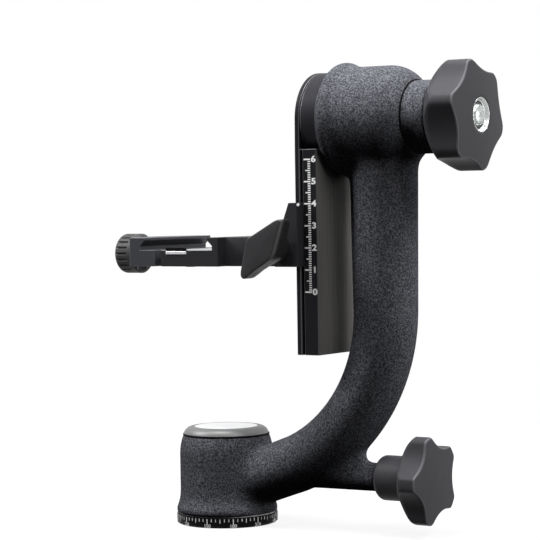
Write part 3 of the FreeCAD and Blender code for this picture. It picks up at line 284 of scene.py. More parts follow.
hubHeight = 0.5 * (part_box("tilt_flange")[0].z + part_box("tilt_flange")[1].z)
lockHeight = 0.5 * (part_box("pan_lock_screw")[0].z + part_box("pan_lock_screw")[1].z)

dishLook = {"bright": (0.58, 0.60, 0.59), "nut": (0.30, 0.33, 0.32), "floorShade": (0.015, 0.016, 0.016),
            "nutRadius": 4.7 * mm, "floorShadeRadius": 6.3 * mm, "haze": 1.2 * mm, "from": 0.35, "gain": 3.0,
            "rough": 0.14, "roughHaze": 0.2, "metallic": 0.5, "deep": 0.1 * mm, "bump": 0.6}


def dishFinish():
    # polished cup, with painted shade as a dark ring on its recessed floor, and a duller nut in the middle
    dish = Finish("bright_dish", dishLook["bright"], dishLook["rough"], dishLook["metallic"])
    radius = reachOf(dish.axis(1), dish.axis(2) - hubHeight)
    haze = dish.noise(dishLook["haze"], detail=3.0)
    share = ((haze - dishLook["from"]) * dishLook["gain"]).clamped()
    nut = dish.mix(share, dishLook["nut"], dishLook["bright"])
    # painted shade: the recessed floor between the nut and the wall is dark
    cup = dish.mix(radius < dishLook["floorShadeRadius"], dishLook["bright"], dishLook["floorShade"])
    dish.set("Base Color", dish.mix(radius < dishLook["nutRadius"], cup, nut))
    dish.set("Roughness", dishLook["rough"] + dishLook["roughHaze"] * haze)
    dish.set("Normal", dish.bump(haze, dishLook["deep"], dishLook["bump"]))
    return dish


# the edge colour is a painted highlight on the rounded edge, and the flank colour is painted shade
wingLook = {"colour": (0.038, 0.038, 0.040), "edge": (0.12, 0.12, 0.125), "flankShade": (0.006, 0.005, 0.005),
            "front": -43.5 * mm, "fade": 1.5 * mm, "share": 0.75}


def wingFinish():
    # moulded plastic, with painted shade: the flank behind its face is darkened as if shade fell there
    plastic = mouldedPlastic("wing_plastic", wingLook["colour"], 0.42, sheen=0.08, edgeHighlight=wingLook["edge"])
    tone = Wire(plastic.tree, plastic.shader.inputs["Base Color"].links[0].from_socket)
    # painted shade: the colour goes darker behind the face's front edge, towards the neck
    shadeBehind = ((plastic.axis(1) - wingLook["front"]) / wingLook["fade"]).clamped()
    plastic.set("Base Color", plastic.mix(wingLook["share"] * shadeBehind, tone, wingLook["flankShade"]))
    return plastic


knurlLook = {"colour": (0.056, 0.057, 0.056), "groove": (0.004, 0.004, 0.004), "deep": 0.12 * mm,
             "fade": 0.22 * mm, "front": 2.4 * mm, "back": 3.2 * mm}


def knurlFinish():
    # dark anodising, with painted shade darkening the floors of the grip's grooves
    knurl = anodised("knurl_grey", knurlLook["colour"], 0.5, grainAxis=0, metallic=0.2, sheen=0.10)
    low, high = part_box("plate_knob_grip")
    radius = reachOf(knurl.axis(1) - (low.y + high.y) / 2, knurl.axis(2) - (low.z + high.z) / 2)
    band = between(knurl.axis(0), low.x + knurlLook["front"], high.x - knurlLook["back"])
    floor = (high.z - low.z) / 2 - knurlLook["deep"]
    # painted shade: near-black towards the groove floors, inside the band
    grooveShade = ((floor - radius) / knurlLook["fade"]).clamped() * band
    knurl.set("Base Color", knurl.mix(grooveShade, knurlLook["colour"], knurlLook["groove"]))
    return knurl


paint = crinklePaint("crinkle_paint")
rail = railFinish()
clamp = clampFinish()
jawMetal = anodised("jaw_grey", (0.036, 0.037, 0.042), 0.42, grainAxis=1, metallic=0.2, sheen=0.12)
knurlMetal = knurlFinish()
flangeMetal = anodised("flange_black", (0.014, 0.014, 0.017), 0.45, metallic=0.1, sheen=0.06)
capAlloy = anodised("satin_alloy", (0.13, 0.13, 0.131), 0.45, metallic=0.3, sheen=0.4)
# the knobs' rounded front edges get a painted highlight colour
knobPlastic = mouldedPlastic("knob_plastic", (0.036, 0.036, 0.040), sheen=0.07, edgeHighlight=(0.13, 0.13, 0.14))
wingPlastic = wingFinish()
dialPlastic = mouldedPlastic("dial_plastic", (0.003, 0.003, 0.004), 0.25, sheen=0.04)
discAlloy = turnedMetal("spun_disc", (0.93, 0.94, 0.95), 0.32, metallic=0.6)
dishMetal = dishFinish()
steel = turnedMetal("ground_steel", (0.56, 0.56, 0.58), 0.28)
blackSteel = turnedMetal("black_steel", (0.020, 0.020, 0.024), 0.40, metallic=0.3)
brass = turnedMetal("turned_brass", (0.70, 0.52, 0.24), 0.30)
glideSheet = mouldedPlastic("glide_sheet", (0.72, 0.72, 0.70), 0.5)
brakePad = mouldedPlastic("brake_pad", (0.20, 0.17, 0.13), 0.8, grain=0.6 * mm)
whitePrint = mouldedPlastic("white_print", (0.80, 0.80, 0.79), 0.55)
print("finishes ready")


def coat(mesh, *finishes):
    mesh.materials.clear()
    for finish in finishes:
        mesh.materials.append(finish.material)


def dress(names, finish):
    for name in names:
        coat(nodes[name].data, finish)


dress(nodes, steel)
dress(("c_arm", "hub_collar"), paint)
dress(("base_cap",), capAlloy)
dress(("swing_plate", "base_plate"), rail)
dress(("tilt_flange",), flangeMetal)
dress(("platform_bracket", "rail_jaw"), clamp)
dress(("plate_jaw",), jawMetal)
dress(("plate_knob_grip",), knurlMetal)
dress(("pan_knob_grip", "tilt_knob_grip"), knobPlastic)
dress(("wing_grip",), wingPlastic)
dress(("dial_ring",), dialPlastic)
dress(("cap_disc",), discAlloy)
dress(("tilt_knob_cap",), dishMetal)
dress(("base_screws", "swing_screws", "spindle_bolt", "under_screws", "stop_pin"), blackSteel)
dress(("tilt_lock_bush", "pan_lock_bush"), brass)
dress(("glide_washer",), glideSheet)
dress(("pan_brake_pad", "tilt_brake_pad"), brakePad)
dress(("index_dot",), whitePrint)
print("CAD nodes dressed")


def markEdge(piece, rows, columns, first, last):
    # the rows of a moulding's rounded edge, as an attribute that its finish reads for a painted highlight
    edge = np.zeros((rows, columns), np.float32)
    edge[first:last] = 1
    layer = piece.data.attributes.new("edge", "FLOAT", "POINT")
    layer.data.foreach_set("value", edge.ravel())


def placed(name, data):
    # an object at the origin that holds the data
    piece = bpy.data.objects.new(name, data)
    bpy.context.scene.collection.objects.link(piece)
    return piece


def shade(mesh, smooth=True):
    mesh.polygons.foreach_set("use_smooth", [smooth] * len(mesh.polygons))


def meshPiece(name, points, faces, finish, smooth=True):
    mesh = bpy.data.meshes.new(name)
    mesh.from_pydata(points.tolist(), [], faces)
    mesh.validate()
    shade(mesh, smooth)
    mesh.materials.append(finish.material)
    return placed(name, mesh)


def settle(piece, node, replace=False):
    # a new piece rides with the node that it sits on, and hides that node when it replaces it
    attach(piece, bodyOf[node])
    if replace:
        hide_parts(node)


def surface(name, grid, finish):
    # a grid of points, rows by columns: the columns close into a ring and the end rows are capped
    rows, columns = grid.shape[:2]
    index = np.arange(rows * columns).reshape(rows, columns)
    beside = np.roll(index, -1, axis=1)
    faces = np.stack([index[:-1], beside[:-1], beside[1:], index[1:]], axis=-1).reshape(-1, 4).tolist()
    faces += [index[0][::-1].tolist(), index[-1].tolist()]
    return meshPiece(name, grid.reshape(-1, 3), faces, finish)


def circle(count):
    return np.linspace(0, 2 * np.pi, count, endpoint=False)


# a box's corners run through x, then y, then z, low before high
boxFaces = [(0, 1, 3, 2), (4, 6, 7, 5), (0, 4, 5, 1), (2, 3, 7, 6), (0, 2, 6, 4), (1, 5, 7, 3)]


def bars(name, middles, halves, turns, finish):
    # many small boxes in one mesh: each has a middle, half sizes and a 3 by 3 turn
    corners = np.array([(x, y, z) for x in (-1, 1) for y in (-1, 1) for z in (-1, 1)], float)
    local = corners[None] * halves[:, None]
    points = np.einsum("nij,nkj->nki", turns, local) + middles[:, None]
    faces = (np.array(boxFaces)[None] + 8 * np.arange(len(middles))[:, None, None]).reshape(-1, 4)
    return meshPiece(name, points.reshape(-1, 3), faces.tolist(), finish, smooth=False)


# knobs: a round blank with a rounded back, cut by scallops, in millimetres
topKnob = {"piece": "tilt_knob_shell", "node": "tilt_knob_grip", "axis": hubHeight / mm,
           "start": 118.9, "thick": 20.4, "radius": 25.2, "waist": 21.0, "scallop": 26.0, "lobes": 6,
           "angle": 45, "root": 16.3, "back": 7.0, "power": 1.25, "dome": 2.3, "front": 0.9,
           "bore": 7.9, "boreDeep": 2.2, "boss": None}
lowKnob = {"piece": "pan_knob_shell", "node": "pan_knob_grip", "axis": lockHeight / mm,
           "start": 101.4, "thick": 13.2, "radius": 20.4, "waist": 15.5, "scallop": 16.0, "lobes": 5,
           "angle": 36, "root": 12.5, "back": 4.6, "power": 1.35, "dome": 1.0, "front": 1.0,
           "bore": 0.0, "boreDeep": 0.0, "boss": (85.3, 6.0, 88.6, 10.3, 100.3)}
knobMesh = {"columns": 300, "soft": 0.9, "pole": 0.03, "bossRows": 9, "filletRows": 6, "backRows": 26,
            "flankRows": 7, "edgeRows": 7, "faceRows": 14, "domePower": 1.6,
            "boreSteps": (0.05, 0.5, 1.0), "boreInset": 0.05}


def lobedOutline(knob, angles):
    # the smaller of the blank's radius and the near side of a scallop circle centred outside it,
    # joined by a soft minimum that rounds the corners of the lobes
    step = 2 * math.pi / knob["lobes"]
    away = np.mod(angles - math.radians(knob["angle"]), step) - step / 2
    reach = knob["waist"] + knob["scallop"]
    inside = knob["scallop"] ** 2 - (reach * np.sin(away)) ** 2
    bite = np.where(inside > 0, reach * np.cos(away) - np.sqrt(np.maximum(inside, 0)), 2 * knob["radius"])
    soft = knobMesh["soft"]
    return -soft * np.log(np.exp(-bite / soft) + np.exp(-knob["radius"] / soft))


def starKnob(knob):
    # rows run from the middle of the back, over its boss and rounded back, along the flank,
    # round the front edge and over the domed face into the dish
    angles = circle(knobMesh["columns"])
    outline = lobedOutline(knob, angles)
    one = np.ones_like(angles)
    end = knob["start"] + knob["thick"]
    axial, radii = [], []

    def row(place, radius):
        axial.append(place * one)
        radii.append(radius * one)

    if knob["boss"]:
        bossStart, neck, shoulder, bossRadius, bossEnd = knob["boss"]
        row(bossStart, knobMesh["pole"])
        for turn in np.linspace(0, np.pi / 2, knobMesh["bossRows"]):
            row(shoulder - (shoulder - bossStart) * math.cos(turn),
                neck + (bossRadius - neck) * math.sin(turn))
        for turn in np.linspace(0, np.pi / 2, knobMesh["filletRows"]):
            fillet = knob["start"] - bossEnd
            row(bossEnd + fillet * math.sin(turn), bossRadius + fillet * (1 - math.cos(turn)))
    else:
        row(knob["start"], knobMesh["pole"])
    power = knob["power"]
    for share in np.linspace(0, 1, knobMesh["backRows"]):
        reach = knob["root"] + (outline - knob["root"]) * share
        rise = (reach - knob["root"]) / (knob["radius"] - knob["root"])
        row(knob["start"] + knob["back"] * (1 - (1 - np.clip(rise, 0, 1) ** power) ** (1 / power)), reach)
    flankStart, front = axial[-1], knob["front"]

    def face(reach):
        return end - knob["dome"] * (reach / knob["radius"]) ** knobMesh["domePower"]

    flankEnd = face(outline - front) - front
    for share in np.linspace(0, 1, knobMesh["flankRows"])[1:]:
        row(flankStart + (flankEnd - flankStart) * share, outline)
    edgeStart = len(axial)
    for turn in np.linspace(0, np.pi / 2, knobMesh["edgeRows"])[1:]:
        row(flankEnd + front * math.sin(turn), outline - front * (1 - math.cos(turn)))
    edgeEnd = len(axial)
    inner = max(knob["bore"], knobMesh["pole"])
    for share in np.linspace(0, 1, knobMesh["faceRows"])[1:]:
        reach = (outline - front) * (1 - share) + inner * share
        row(face(reach), reach)
    if knob["bore"]:
        lip = face(knob["bore"])
        for deep in np.array(knobMesh["boreSteps"]) * knob["boreDeep"]:
            row(lip - deep, knob["bore"] - knobMesh["boreInset"])
        row(lip - knob["boreDeep"], knobMesh["pole"])
    axial, radii = np.stack(axial), np.stack(radii)
    grid = np.stack([axial, radii * np.cos(angles), radii * np.sin(angles) + knob["axis"]], axis=-1) * mm
    piece = surface(knob["piece"], grid, knobPlastic)
    markEdge(piece, *grid.shape[:2], edgeStart, edgeEnd - 1)
    settle(piece, knob["node"], replace=True)


# the dish's profile, as steps back from the knob's face and radii
dish = {"piece": "knob_disc", "node": "tilt_knob_cap", "face": 138.9, "columns": 96,
        "back": (2.1, 2.1, 0.1, 0.0, 0.1, 1.3, 1.7, 1.8, 1.8, 0.9, 0.55, 0.30, 0.12, 0.02),
        "radii": (0.03, 7.8, 7.8, 7.6, 7.35, 6.9, 6.6, 6.2, 4.7, 4.6, 4.1, 3.0, 1.5, 0.03)}


def knobDisc():
    # one profile turned round the knob's axis: cup wall, floor and a domed nut
    angles = circle(dish["columns"])[None]
    axial = dish["face"] - np.array(dish["back"])[:, None]
    radii = np.array(dish["radii"])[:, None]
    grid = np.stack([axial + 0 * angles, radii * np.cos(angles), radii * np.sin(angles) + topKnob["axis"]],
                    axis=-1) * mm
    settle(surface(dish["piece"], grid, dishMetal), dish["node"], replace=True)


starKnob(topKnob)
starKnob(lowKnob)
knobDisc()
print("knobs ready")


# the wing lever: its face's corners as (x, z), and rings from the neck to the face, in millimetres
wing = {"piece": "wing_lever", "node": "wing_grip", "face": -45.6, "neck": -28.05, "middle": (50.6, 131.6),
        "corners": ((40.1, 118.0), (39.7, 120.3), (43.5, 136.2), (45.7, 137.1), (59.1, 144.4),
                    (62.5, 144.8), (57.3, 128.8), (55.9, 126.6), (46.5, 121.0), (42.1, 117.8)),
        "columns": 200, "blur": 4, "neckRadius": 5.6, "edge": 0.9,
        "depths": (0.0, 0.10, 0.22, 0.34, 0.46, 0.58, 0.72, 0.86), "crown": 0.2,
        "swellEnd": 0.62, "neckPole": 0.02, "facePole": 0.01, "edgeRings": 7, "crownRings": 8}


def closedOutline(corners, columns, blur):
    # points evenly spaced round the corners, each averaged with its neighbours to round them
    ring = np.array(corners + corners[:1], float)
    travel = np.concatenate([[0], np.cumsum(np.hypot(*np.diff(ring, axis=0).T))])
    spot = np.linspace(0, travel[-1], columns, endpoint=False)
    flat = np.stack([np.interp(spot, travel, ring[:, 0]), np.interp(spot, travel, ring[:, 1])], axis=1)
    return sum(np.roll(flat, shift, axis=0) for shift in range(-blur, blur + 1)) / (2 * blur + 1)


def wingLever():
    # every ring runs between a round neck and the face's outline
    outline = closedOutline(wing["corners"], wing["columns"], wing["blur"]) - wing["middle"]
    bearing = np.arctan2(outline[:, 1], outline[:, 0])
    neck = wing["neckRadius"] * np.stack([np.cos(bearing), np.sin(bearing)], axis=1)
    span = np.hypot(*outline.T).max()
    rings, places = [neck * wing["neckPole"]], [wing["neck"]]
    for depth in wing["depths"]:
        swell = 0.5 - 0.5 * math.cos(math.pi * min(1.0, depth / wing["swellEnd"]))
        rings.append(neck + (outline - neck) * swell)
        places.append(wing["neck"] + (wing["face"] - wing["neck"]) * depth)
    edgeStart = len(rings)
    for turn in np.linspace(0, np.pi / 2, wing["edgeRings"]):
        rings.append(outline * (1 - wing["edge"] * (1 - math.cos(turn)) / span))
        places.append(wing["face"] + wing["crown"] + wing["edge"] * (1 - math.sin(turn)))
    edgeEnd = len(rings)
    for share in np.linspace(0, 1, wing["crownRings"])[1:]:
        rings.append(outline * (1 - wing["edge"] / span) * max(1 - share, wing["facePole"]))
        places.append(wing["face"] + wing["crown"] * (1 - share) ** 2)
    rings = np.stack(rings) + wing["middle"]
    depth = np.broadcast_to(np.array(places)[:, None], rings.shape[:2])
    grid = np.stack([rings[..., 0], depth, rings[..., 1]], axis=-1) * mm
    piece = surface(wing["piece"], grid[:, ::-1], wingPlastic)
    markEdge(piece, *grid.shape[:2], edgeStart, edgeEnd - 1)
    settle(piece, wing["node"], replace=True)


wingLever()
print("wing lever ready")


# the arm's copy as a casting: an even mesh on the node's surface with its sharp hollows filled softly
casting = {"piece": "arm_casting", "node": "c_arm", "voxel": 0.95 * mm, "rounds": 60, "step": 0.5,
           "hubKeep": 18.5 * mm, "hubLip": 4 * mm, "baseKeep": 20.5 * mm, "footKeep": 7.5 * mm,
           "lockKeep": 6.0 * mm, "hubFloor": 0.12, "lockFrom": 0.06}


def mergedCopy(node, flat=None):
    # a CAD node's triangles joined at their shared corners, flat areas made single faces
    mesh = nodes[node].data.copy()
    build = bmesh.new()
    build.from_mesh(mesh)
    bmesh.ops.remove_doubles(build, verts=build.verts, dist=0.001 * mm)
    if flat:
        bmesh.ops.dissolve_limit(build, angle_limit=flat, verts=build.verts, edges=build.edges)
    build.to_mesh(mesh)
    build.free()
    return mesh


def evaluated(piece):
    # the mesh that an object's modifiers make
    depsgraph = bpy.context.evaluated_depsgraph_get()
    return bpy.data.meshes.new_from_object(piece.evaluated_get(depsgraph))


def armCasting():
    # each round moves a point out to its neighbours' middle, where that lies outside the surface
    source = nodes[casting["node"]]
    holder = placed("casting_blank", mergedCopy(casting["node"]))
    remesh = holder.modifiers.new("even", "REMESH")
    remesh.mode, remesh.voxel_size = "VOXEL", casting["voxel"]
    shrink = holder.modifiers.new("back", "SHRINKWRAP")
    shrink.target = source
    mesh = evaluated(holder)
    bpy.data.objects.remove(holder)
    count, edgeCount = len(mesh.vertices), len(mesh.edges)
    points, edges = np.zeros(count * 3), np.zeros(edgeCount * 2, int)
    mesh.vertices.foreach_get("co", points)
    mesh.edges.foreach_get("vertices", edges)
    points, (first, second) = points.reshape(-1, 3), edges.reshape(-1, 2).T
    links = np.bincount(first, minlength=count) + np.bincount(second, minlength=count)
    x, y, z = points.T
    fromHub = np.hypot(y, z - hubHeight)
    fromBase = np.hypot(x, y)
    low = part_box("tilt_flange")[1].x + casting["hubLip"]
    keep = (fromHub < casting["hubKeep"]) | ((x < low) & (z > casting["hubFloor"]))
    keep |= (fromBase < casting["baseKeep"]) | (z < casting["footKeep"])
    keep |= (np.hypot(y, z - lockHeight) < casting["lockKeep"]) & (x > casting["lockFrom"])
    for _ in range(casting["rounds"]):
        total = np.stack([np.bincount(first, points[second, side], count)
                          + np.bincount(second, points[first, side], count) for side in range(3)], axis=1)
        pull = total / links[:, None] - points
        mesh.vertices.foreach_set("co", points.ravel())
        mesh.update()
        normals = np.zeros(count * 3)
        mesh.vertices.foreach_get("normal", normals)
        normals = normals.reshape(-1, 3)
        out = np.maximum(np.einsum("ij,ij->i", pull, normals), 0) * ~keep
        points = points + casting["step"] * out[:, None] * normals
    mesh.vertices.foreach_set("co", points.ravel())
    mesh.update()
    shade(mesh)
    coat(mesh, paint)
    settle(placed(casting["piece"], mesh), casting["node"], replace=True)
    print("arm casting:", count, "points")


armCasting()


# machined pieces whose edges are broken: the copy's finish, the width of the broken edge and
# whether the broken edge gets a painted highlight, a paler second finish
broken = {"swing_plate": (rail, 0.35 * mm, True), "tilt_flange": (flangeMetal, 0.40 * mm, True),
          "platform_bracket": (clamp, 0.25 * mm, False), "rail_jaw": (clamp, 0.25 * mm, False),
          "plate_jaw": (jawMetal, 0.25 * mm, True)}
paintedEdgeHighlight = anodised("painted_edge_highlight", (0.050, 0.050, 0.054), 0.38, metallic=0.3, sheen=0.25)
brokenMesh = {"sharp": math.radians(25), "flat": math.radians(0.5), "segments": 2}


def brokenEdges(node, finish, width, highlighted):
    mesh = mergedCopy(node, flat=brokenMesh["flat"])
    mesh.set_sharp_from_angle(angle=brokenMesh["sharp"])
    coat(mesh, finish, paintedEdgeHighlight)
    shade(mesh)
    piece = placed(node + "_edged", mesh)
    bevel = piece.modifiers.new("broken_edge", "BEVEL")
    bevel.width, bevel.segments = width, brokenMesh["segments"]
    bevel.limit_method, bevel.angle_limit = "ANGLE", brokenMesh["sharp"]
    bevel.use_clamp_overlap = False
    bevel.harden_normals = True
    # painted highlight: the bevel's faces take the paler second finish
    bevel.material = 1 if highlighted else 0
    settle(piece, node, replace=True)


for node, settings in broken.items():
    brokenEdges(node, *settings)
print("edges broken")


# the plate jaw's springs, which the slide shortens towards the end that the clamp holds: here a merged copy
# that replaces the node, with the slide's travel worked out but not applied
springSet = {"node": "jaw_springs", "joint": "plate_jaw_slide", "piece": "jaw_springs_wire"}


def jawSprings():
    low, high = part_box(springSet["node"])
    joints = {joint["name"]: joint for joint in frame["record"]["behaviour"]["joints"]}
    travel = abs(joints[springSet["joint"]]["range_m"][0])
    mesh = mergedCopy(springSet["node"])
    shade(mesh)
    piece = placed(springSet["piece"], mesh)
    settle(piece, springSet["node"], replace=True)
    1 - travel / (high.x - low.x)
    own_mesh(piece)


jawSprings()
print("jaw springs ready")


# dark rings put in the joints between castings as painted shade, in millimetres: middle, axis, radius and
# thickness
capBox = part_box("base_cap")
capSeam = {"drop": 3.72, "inset": 0.1}
seamShades = {"collar_seam_shade": {"node": "hub_collar", "axis": 0, "middle": (106.6, 0, hubHeight / mm),
                         "radius": 16.55, "thick": 0.55},
         "cap_seam_shade": {"node": "base_cap", "axis": 2, "middle": (0, 0, capBox[1].z / mm - capSeam["drop"]),
                      "radius": capBox[1].x / mm - capSeam["inset"], "thick": 0.5}}
seamRingMesh = {"columns": 144, "rows": 14}
# a near-black finish for painted shade in the joints and in the clamp's slot
paintedShadeBlack = mouldedPlastic("painted_shade_black", (0.004, 0.004, 0.004), 0.7, sheen=0.03)


def sealRing(name, seamRing):
    # a torus: one circle carried round another about the X or Z axis
    around = circle(seamRingMesh["columns"])[None]
    across = circle(seamRingMesh["rows"])[:, None]
    reach = seamRing["radius"] + seamRing["thick"] * np.cos(across)
    along = seamRing["thick"] * np.sin(across) + 0 * around
    flat = [reach * np.cos(around), reach * np.sin(around)]
    flat.insert(seamRing["axis"], along)
    grid = (np.stack(flat, axis=-1) + seamRing["middle"]) * mm
    index = np.arange(grid.shape[0] * grid.shape[1]).reshape(grid.shape[:2])
    right, up = np.roll(index, -1, axis=1), np.roll(index, -1, axis=0)
    faces = np.stack([index, right, np.roll(right, -1, axis=0), up], axis=-1).reshape(-1, 4)
    settle(meshPiece(name, grid.reshape(-1, 3), faces.tolist(), paintedShadeBlack), seamRing["node"])


for name, seamRing in seamShades.items():
    sealRing(name, seamRing)
print("seals ready")


# spring bar in the plate clamp's end: a bright bar below a dark block of painted shade that stands for the
# slot, in millimetres
endBar = {"node": "platform_bracket", "face": -27.5, "left": -14.0, "right": -2.2, "slotHigh": 131.5,
          "slotLow": 130.0, "barLow": 128.5, "round": 0.35, "barProud": 0.30, "slotProud": 0.06,
          "segments": 3}


def roundedBlock(name, low, high, edge, finish, node):
    # a box between two corners, its edges rounded by a bevel
    low, high = np.array(low) * mm, np.array(high) * mm
    points = np.array([[x, y, z] for x in (low[0], high[0]) for y in (low[1], high[1])
                       for z in (low[2], high[2])])
    piece = meshPiece(name, points, boxFaces, finish)
    bevel = piece.modifiers.new("rounding", "BEVEL")
    bevel.width, bevel.segments = edge * mm, endBar["segments"]
    bevel.harden_normals = True
    settle(piece, node)


barBack = endBar["face"] + endBar["round"]
roundedBlock("end_bar", (endBar["left"], endBar["face"] - endBar["barProud"], endBar["barLow"]),
             (endBar["right"], barBack, endBar["slotLow"]), endBar["round"], steel, endBar["node"])
# painted shade: a dark block proud of the face stands in for the slot
roundedBlock("end_slot_shade", (endBar["left"], endBar["face"] - endBar["slotProud"], endBar["slotLow"]),
             (endBar["right"], barBack, endBar["slotHigh"]), endBar["slotProud"], paintedShadeBlack, endBar["node"])
print("end bar ready")


stageLook = {"ambient": 0.005, "paper": (0.90, 0.90, 0.90), "dim": (0.008, 0.008, 0.008), "near": 0.88,
             "fadeFrom": 0.25, "fade": 4, "half": 4.0}


def stagePaper():
    # the eye sees pale paper that keeps its shadow; light that bounces finds it dim
    paper = Finish("floor_paper", stageLook["paper"], 0.9, Specular_IOR_Level=0.0)
    paths = paper.tree.nodes.new("ShaderNodeLightPath")
    seen = paper.place.maths("MAXIMUM", Wire(paper.tree, paths.outputs["Is Camera Ray"]),
                             Wire(paper.tree, paths.outputs["Is Glossy Ray"]))
    paper.set("Base Color", paper.mix(seen, stageLook["dim"], stageLook["paper"]))
    glow = paper.place.node("Emission", {"Color": (1, 1, 1, 1), "Strength": 1.0})
    away = (paper.axis(0) ** 2 + paper.axis(1) ** 2) ** 0.5
    fade = ((away - stageLook["fadeFrom"]) * stageLook["fade"]).clamped()
    share = stageLook["near"] + (1 - stageLook["near"]) * fade
    blend = paper.place.node("MixShader", {0: seen * share, 1: paper.shader.outputs[0], 2: glow})
    paper.tree.links.new(blend.socket, paper.tree.nodes["Material Output"].inputs["Surface"])
    return paper


def whiteStage():
    # camera, mirror and clear rays see plain white; the rest see a dim room
    world = bpy.data.worlds.new("studio")
    bpy.context.scene.world = world
    world.use_nodes = True
    tree = world.node_tree
    background = tree.nodes["Background"]
    paths = tree.nodes.new("ShaderNodeLightPath")
    seen = Wire(tree, paths.outputs["Is Camera Ray"])
    for kind in ("Is Glossy Ray", "Is Transmission Ray"):
        seen = seen.maths("MAXIMUM", seen, Wire(tree, paths.outputs[kind]))
    ambient = stageLook["ambient"]
    tree.links.new((ambient + (1 - ambient) * seen).socket, background.inputs["Strength"])
    background.inputs["Color"].default_value = (1, 1, 1, 1)
    half = stageLook["half"]
    corners = np.array([(-half, -half, 0), (half, -half, 0), (half, half, 0), (-half, half, 0)])
    meshPiece("floor", corners, [(0, 1, 2, 3)], stagePaper(), smooth=False)


# soft lamps: place, what it aims at, size in metres and power in watts
lamps = {"key": ((-0.02, -0.15, 1.15), (0.03, 0, 0.12), (0.45, 0.40), 21),
         "left": ((-0.80, -0.50, 0.90), (0.03, 0, 0.12), (0.30, 0.40), 12),
         "right": ((0.68, 0.42, 1.00), (0.03, 0, 0.12), (0.30, 0.40), 8),
         "front": ((0.88, -0.30, 0.92), (0.03, 0, 0.12), (0.40, 0.40), 7.0),
         "low": ((0.75, 0.36, 0.14), (0.03, 0, 0.12), (0.30, 0.30), 2.0)}


def lamp(name, place, aim, size, power):
    light = bpy.data.lights.new(name, "AREA")
    light.shape = "RECTANGLE"
    light.size, light.size_y = size
    light.energy = power
    holder = placed(name, light)
    way = np.array(aim) - np.array(place)
    flat = math.hypot(way[0], way[1])
    holder.location = place
    holder.rotation_euler = Euler((math.atan2(flat, -way[2]), 0, math.atan2(way[1], way[0]) - math.pi / 2))


lensView = {"place": (0.5889, -0.8612, 0.1531), "turn": 33.153, "tip": 1.822, "lean": 0.875,
            "lens": 146.07, "sensor": 36.0, "clip": 0.01}


def makeCamera():
    data = bpy.data.cameras.new("camera")
    data.lens, data.sensor_width = lensView["lens"], lensView["sensor"]
    data.clip_start = lensView["clip"]
    camera = placed("camera", data)
    turn = (Matrix.Rotation(math.radians(lensView["turn"]), 4, "Z")
            @ Matrix.Rotation(math.radians(90 - lensView["tip"]), 4, "X")
            @ Matrix.Rotation(math.radians(-lensView["lean"]), 4, "Z"))
    camera.matrix_world = Matrix.Translation(lensView["place"]) @ turn
    bpy.context.scene.camera = camera


whiteStage()
for lampName, settings in lamps.items():
    lamp(lampName, *settings)
makeCamera()
bpy.context.scene.view_settings.view_transform = "Standard"
print("stage, lamps and camera ready")


# the rail's printed rule, in millimetres: ticks every millimetre and a figure every ten
railScale = {"zero": 111.3, "step": 10.0, "count": 6, "face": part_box("swing_plate")[0].y / mm, "proud": 0.06,
             "line": 0.55, "long": (59.8, 63.3), "half": (60.7, 63.3), "fine": (61.9, 63.3),
             "figure": 2.7, "figureWide": 1.3, "figureAt": 64.95, "bold": 0.035, "bolder": 1.2}


def railMarks():
    marks = []
    for tenth in range(railScale["count"] * 10 + 1):
        kind = "long" if tenth % 10 == 0 else "half" if tenth % 5 == 0 else "fine"
        left, right = railScale[kind]
        wide = railScale["line"] * (railScale["bolder"] if kind == "long" else 1.0)
        marks.append(((left + right) / 2, (right - left) / 2, railScale["zero"] + tenth, wide / 2))
    x, halfX, z, halfZ = np.array(marks).T
    middles = np.stack([x, np.full_like(x, railScale["face"]), z], axis=1) * mm
    halves = np.stack([halfX, np.full_like(x, railScale["proud"]), halfZ], axis=1) * mm
    turns = np.broadcast_to(np.eye(3), (len(x), 3, 3))
    settle(bars("rail_scale", middles, halves, turns, whitePrint), "swing_plate")


# a figure's height as a share of the font's size, its thickness in millimetres and its curve steps
figureFont = {"high": 0.7, "thick": 0.06, "steps": 4}


def figurePoints(text, high, bold):
    # a number as flat points and faces, centred, with high as the height of its figures
    curve = bpy.data.curves.new("figure", "FONT")
    curve.body = text
    curve.align_x, curve.align_y = "CENTER", "CENTER"
    curve.size = high / figureFont["high"]
    curve.offset = bold * curve.size
    curve.extrude = figureFont["thick"]
    curve.resolution_u = figureFont["steps"]
    holder = bpy.data.objects.new("figure", curve)
    mesh = bpy.data.meshes.new_from_object(holder)
    points = np.zeros(len(mesh.vertices) * 3)
    mesh.vertices.foreach_get("co", points)
    faces = [tuple(face.vertices) for face in mesh.polygons]
    bpy.data.objects.remove(holder)
    bpy.data.curves.remove(curve)
    return points.reshape(-1, 3), faces


def joined(parts):
    # several sets of points and faces as one
    points, faces, count = [], [], 0
    for flat, sides in parts:
        points.append(flat)
        faces += [tuple(corner + count for corner in side) for side in sides]
        count += len(flat)
    return np.concatenate(points), faces


def railFigures():
    parts = []
    for number in range(railScale["count"] + 1):
        flat, sides = figurePoints(str(number), railScale["figure"], railScale["bold"])
        parts.append((np.stack([flat[:, 0] * railScale["figureWide"] + railScale["figureAt"],
                                railScale["face"] - flat[:, 2],
                                flat[:, 1] + railScale["zero"] + number * railScale["step"]], axis=1) * mm,
                      sides))
    settle(meshPiece("rail_figures", *joined(parts), whitePrint, smooth=False), "swing_plate")


railMarks()
railFigures()

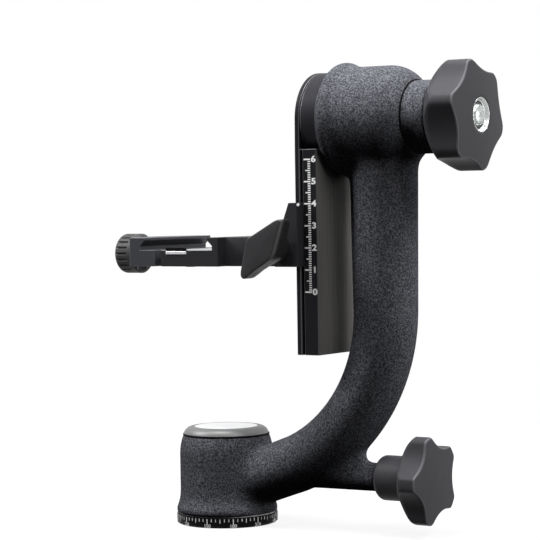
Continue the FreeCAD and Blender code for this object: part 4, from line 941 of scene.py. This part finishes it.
# the base's printed degree scale, in millimetres and degrees
dialInset = 0.06
dialScale = {"radius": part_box("dial_ring")[1].x / mm - dialInset, "first": -49.3, "step": 5, "line": 0.30,
             "top": 4.5, "short": 1.4, "half": 2.0, "long": 2.5, "figure": 1.6, "figureAt": 1.15,
             "proud": 0.12, "bold": 0.02, "figureStep": 30, "figureShift": 180,
             "bolder": 1.4, "halfEach": 3, "longEach": 6}


def dialMarks():
    # boxes on a circle: every third one is longer, and every sixth the longest and boldest
    order = np.arange(360 // dialScale["step"])
    angles = np.radians(dialScale["first"] + dialScale["step"] * order)
    longest = order % dialScale["longEach"] == 0
    long = np.where(order % dialScale["halfEach"] == 0, dialScale["half"], dialScale["short"])
    long = np.where(longest, dialScale["long"], long)
    wide = dialScale["line"] * np.where(longest, dialScale["bolder"], 1.0)
    count, radius = len(order), dialScale["radius"]
    middles = np.stack([radius * np.cos(angles), radius * np.sin(angles), dialScale["top"] - long / 2],
                       axis=1)
    halves = np.stack([np.full(count, dialScale["proud"]), wide / 2, long / 2], axis=1)
    turns = np.zeros((count, 3, 3))
    turns[:, 0, 0] = turns[:, 1, 1] = np.cos(angles)
    turns[:, 1, 0] = np.sin(angles)
    turns[:, 0, 1] = -np.sin(angles)
    turns[:, 2, 2] = 1
    settle(bars("dial_marks", middles * mm, halves * mm, turns, whitePrint), "dial_ring")


def dialFigures():
    # each number's flat points are wrapped round the ring: across becomes angle, up stays up
    parts = []
    for turn in range(0, 360, dialScale["figureStep"]):
        number = str((turn + dialScale["figureShift"]) % 360)
        flat, sides = figurePoints(number, dialScale["figure"], dialScale["bold"])
        angle = math.radians(dialScale["first"] + turn) + flat[:, 0] / dialScale["radius"]
        radius = dialScale["radius"] + flat[:, 2]
        parts.append((np.stack([radius * np.cos(angle), radius * np.sin(angle),
                                dialScale["figureAt"] + flat[:, 1]], axis=1) * mm, sides))
    settle(meshPiece("dial_figures", *joined(parts), whitePrint, smooth=False), "dial_ring")


dialMarks()
dialFigures()
print("scales printed")
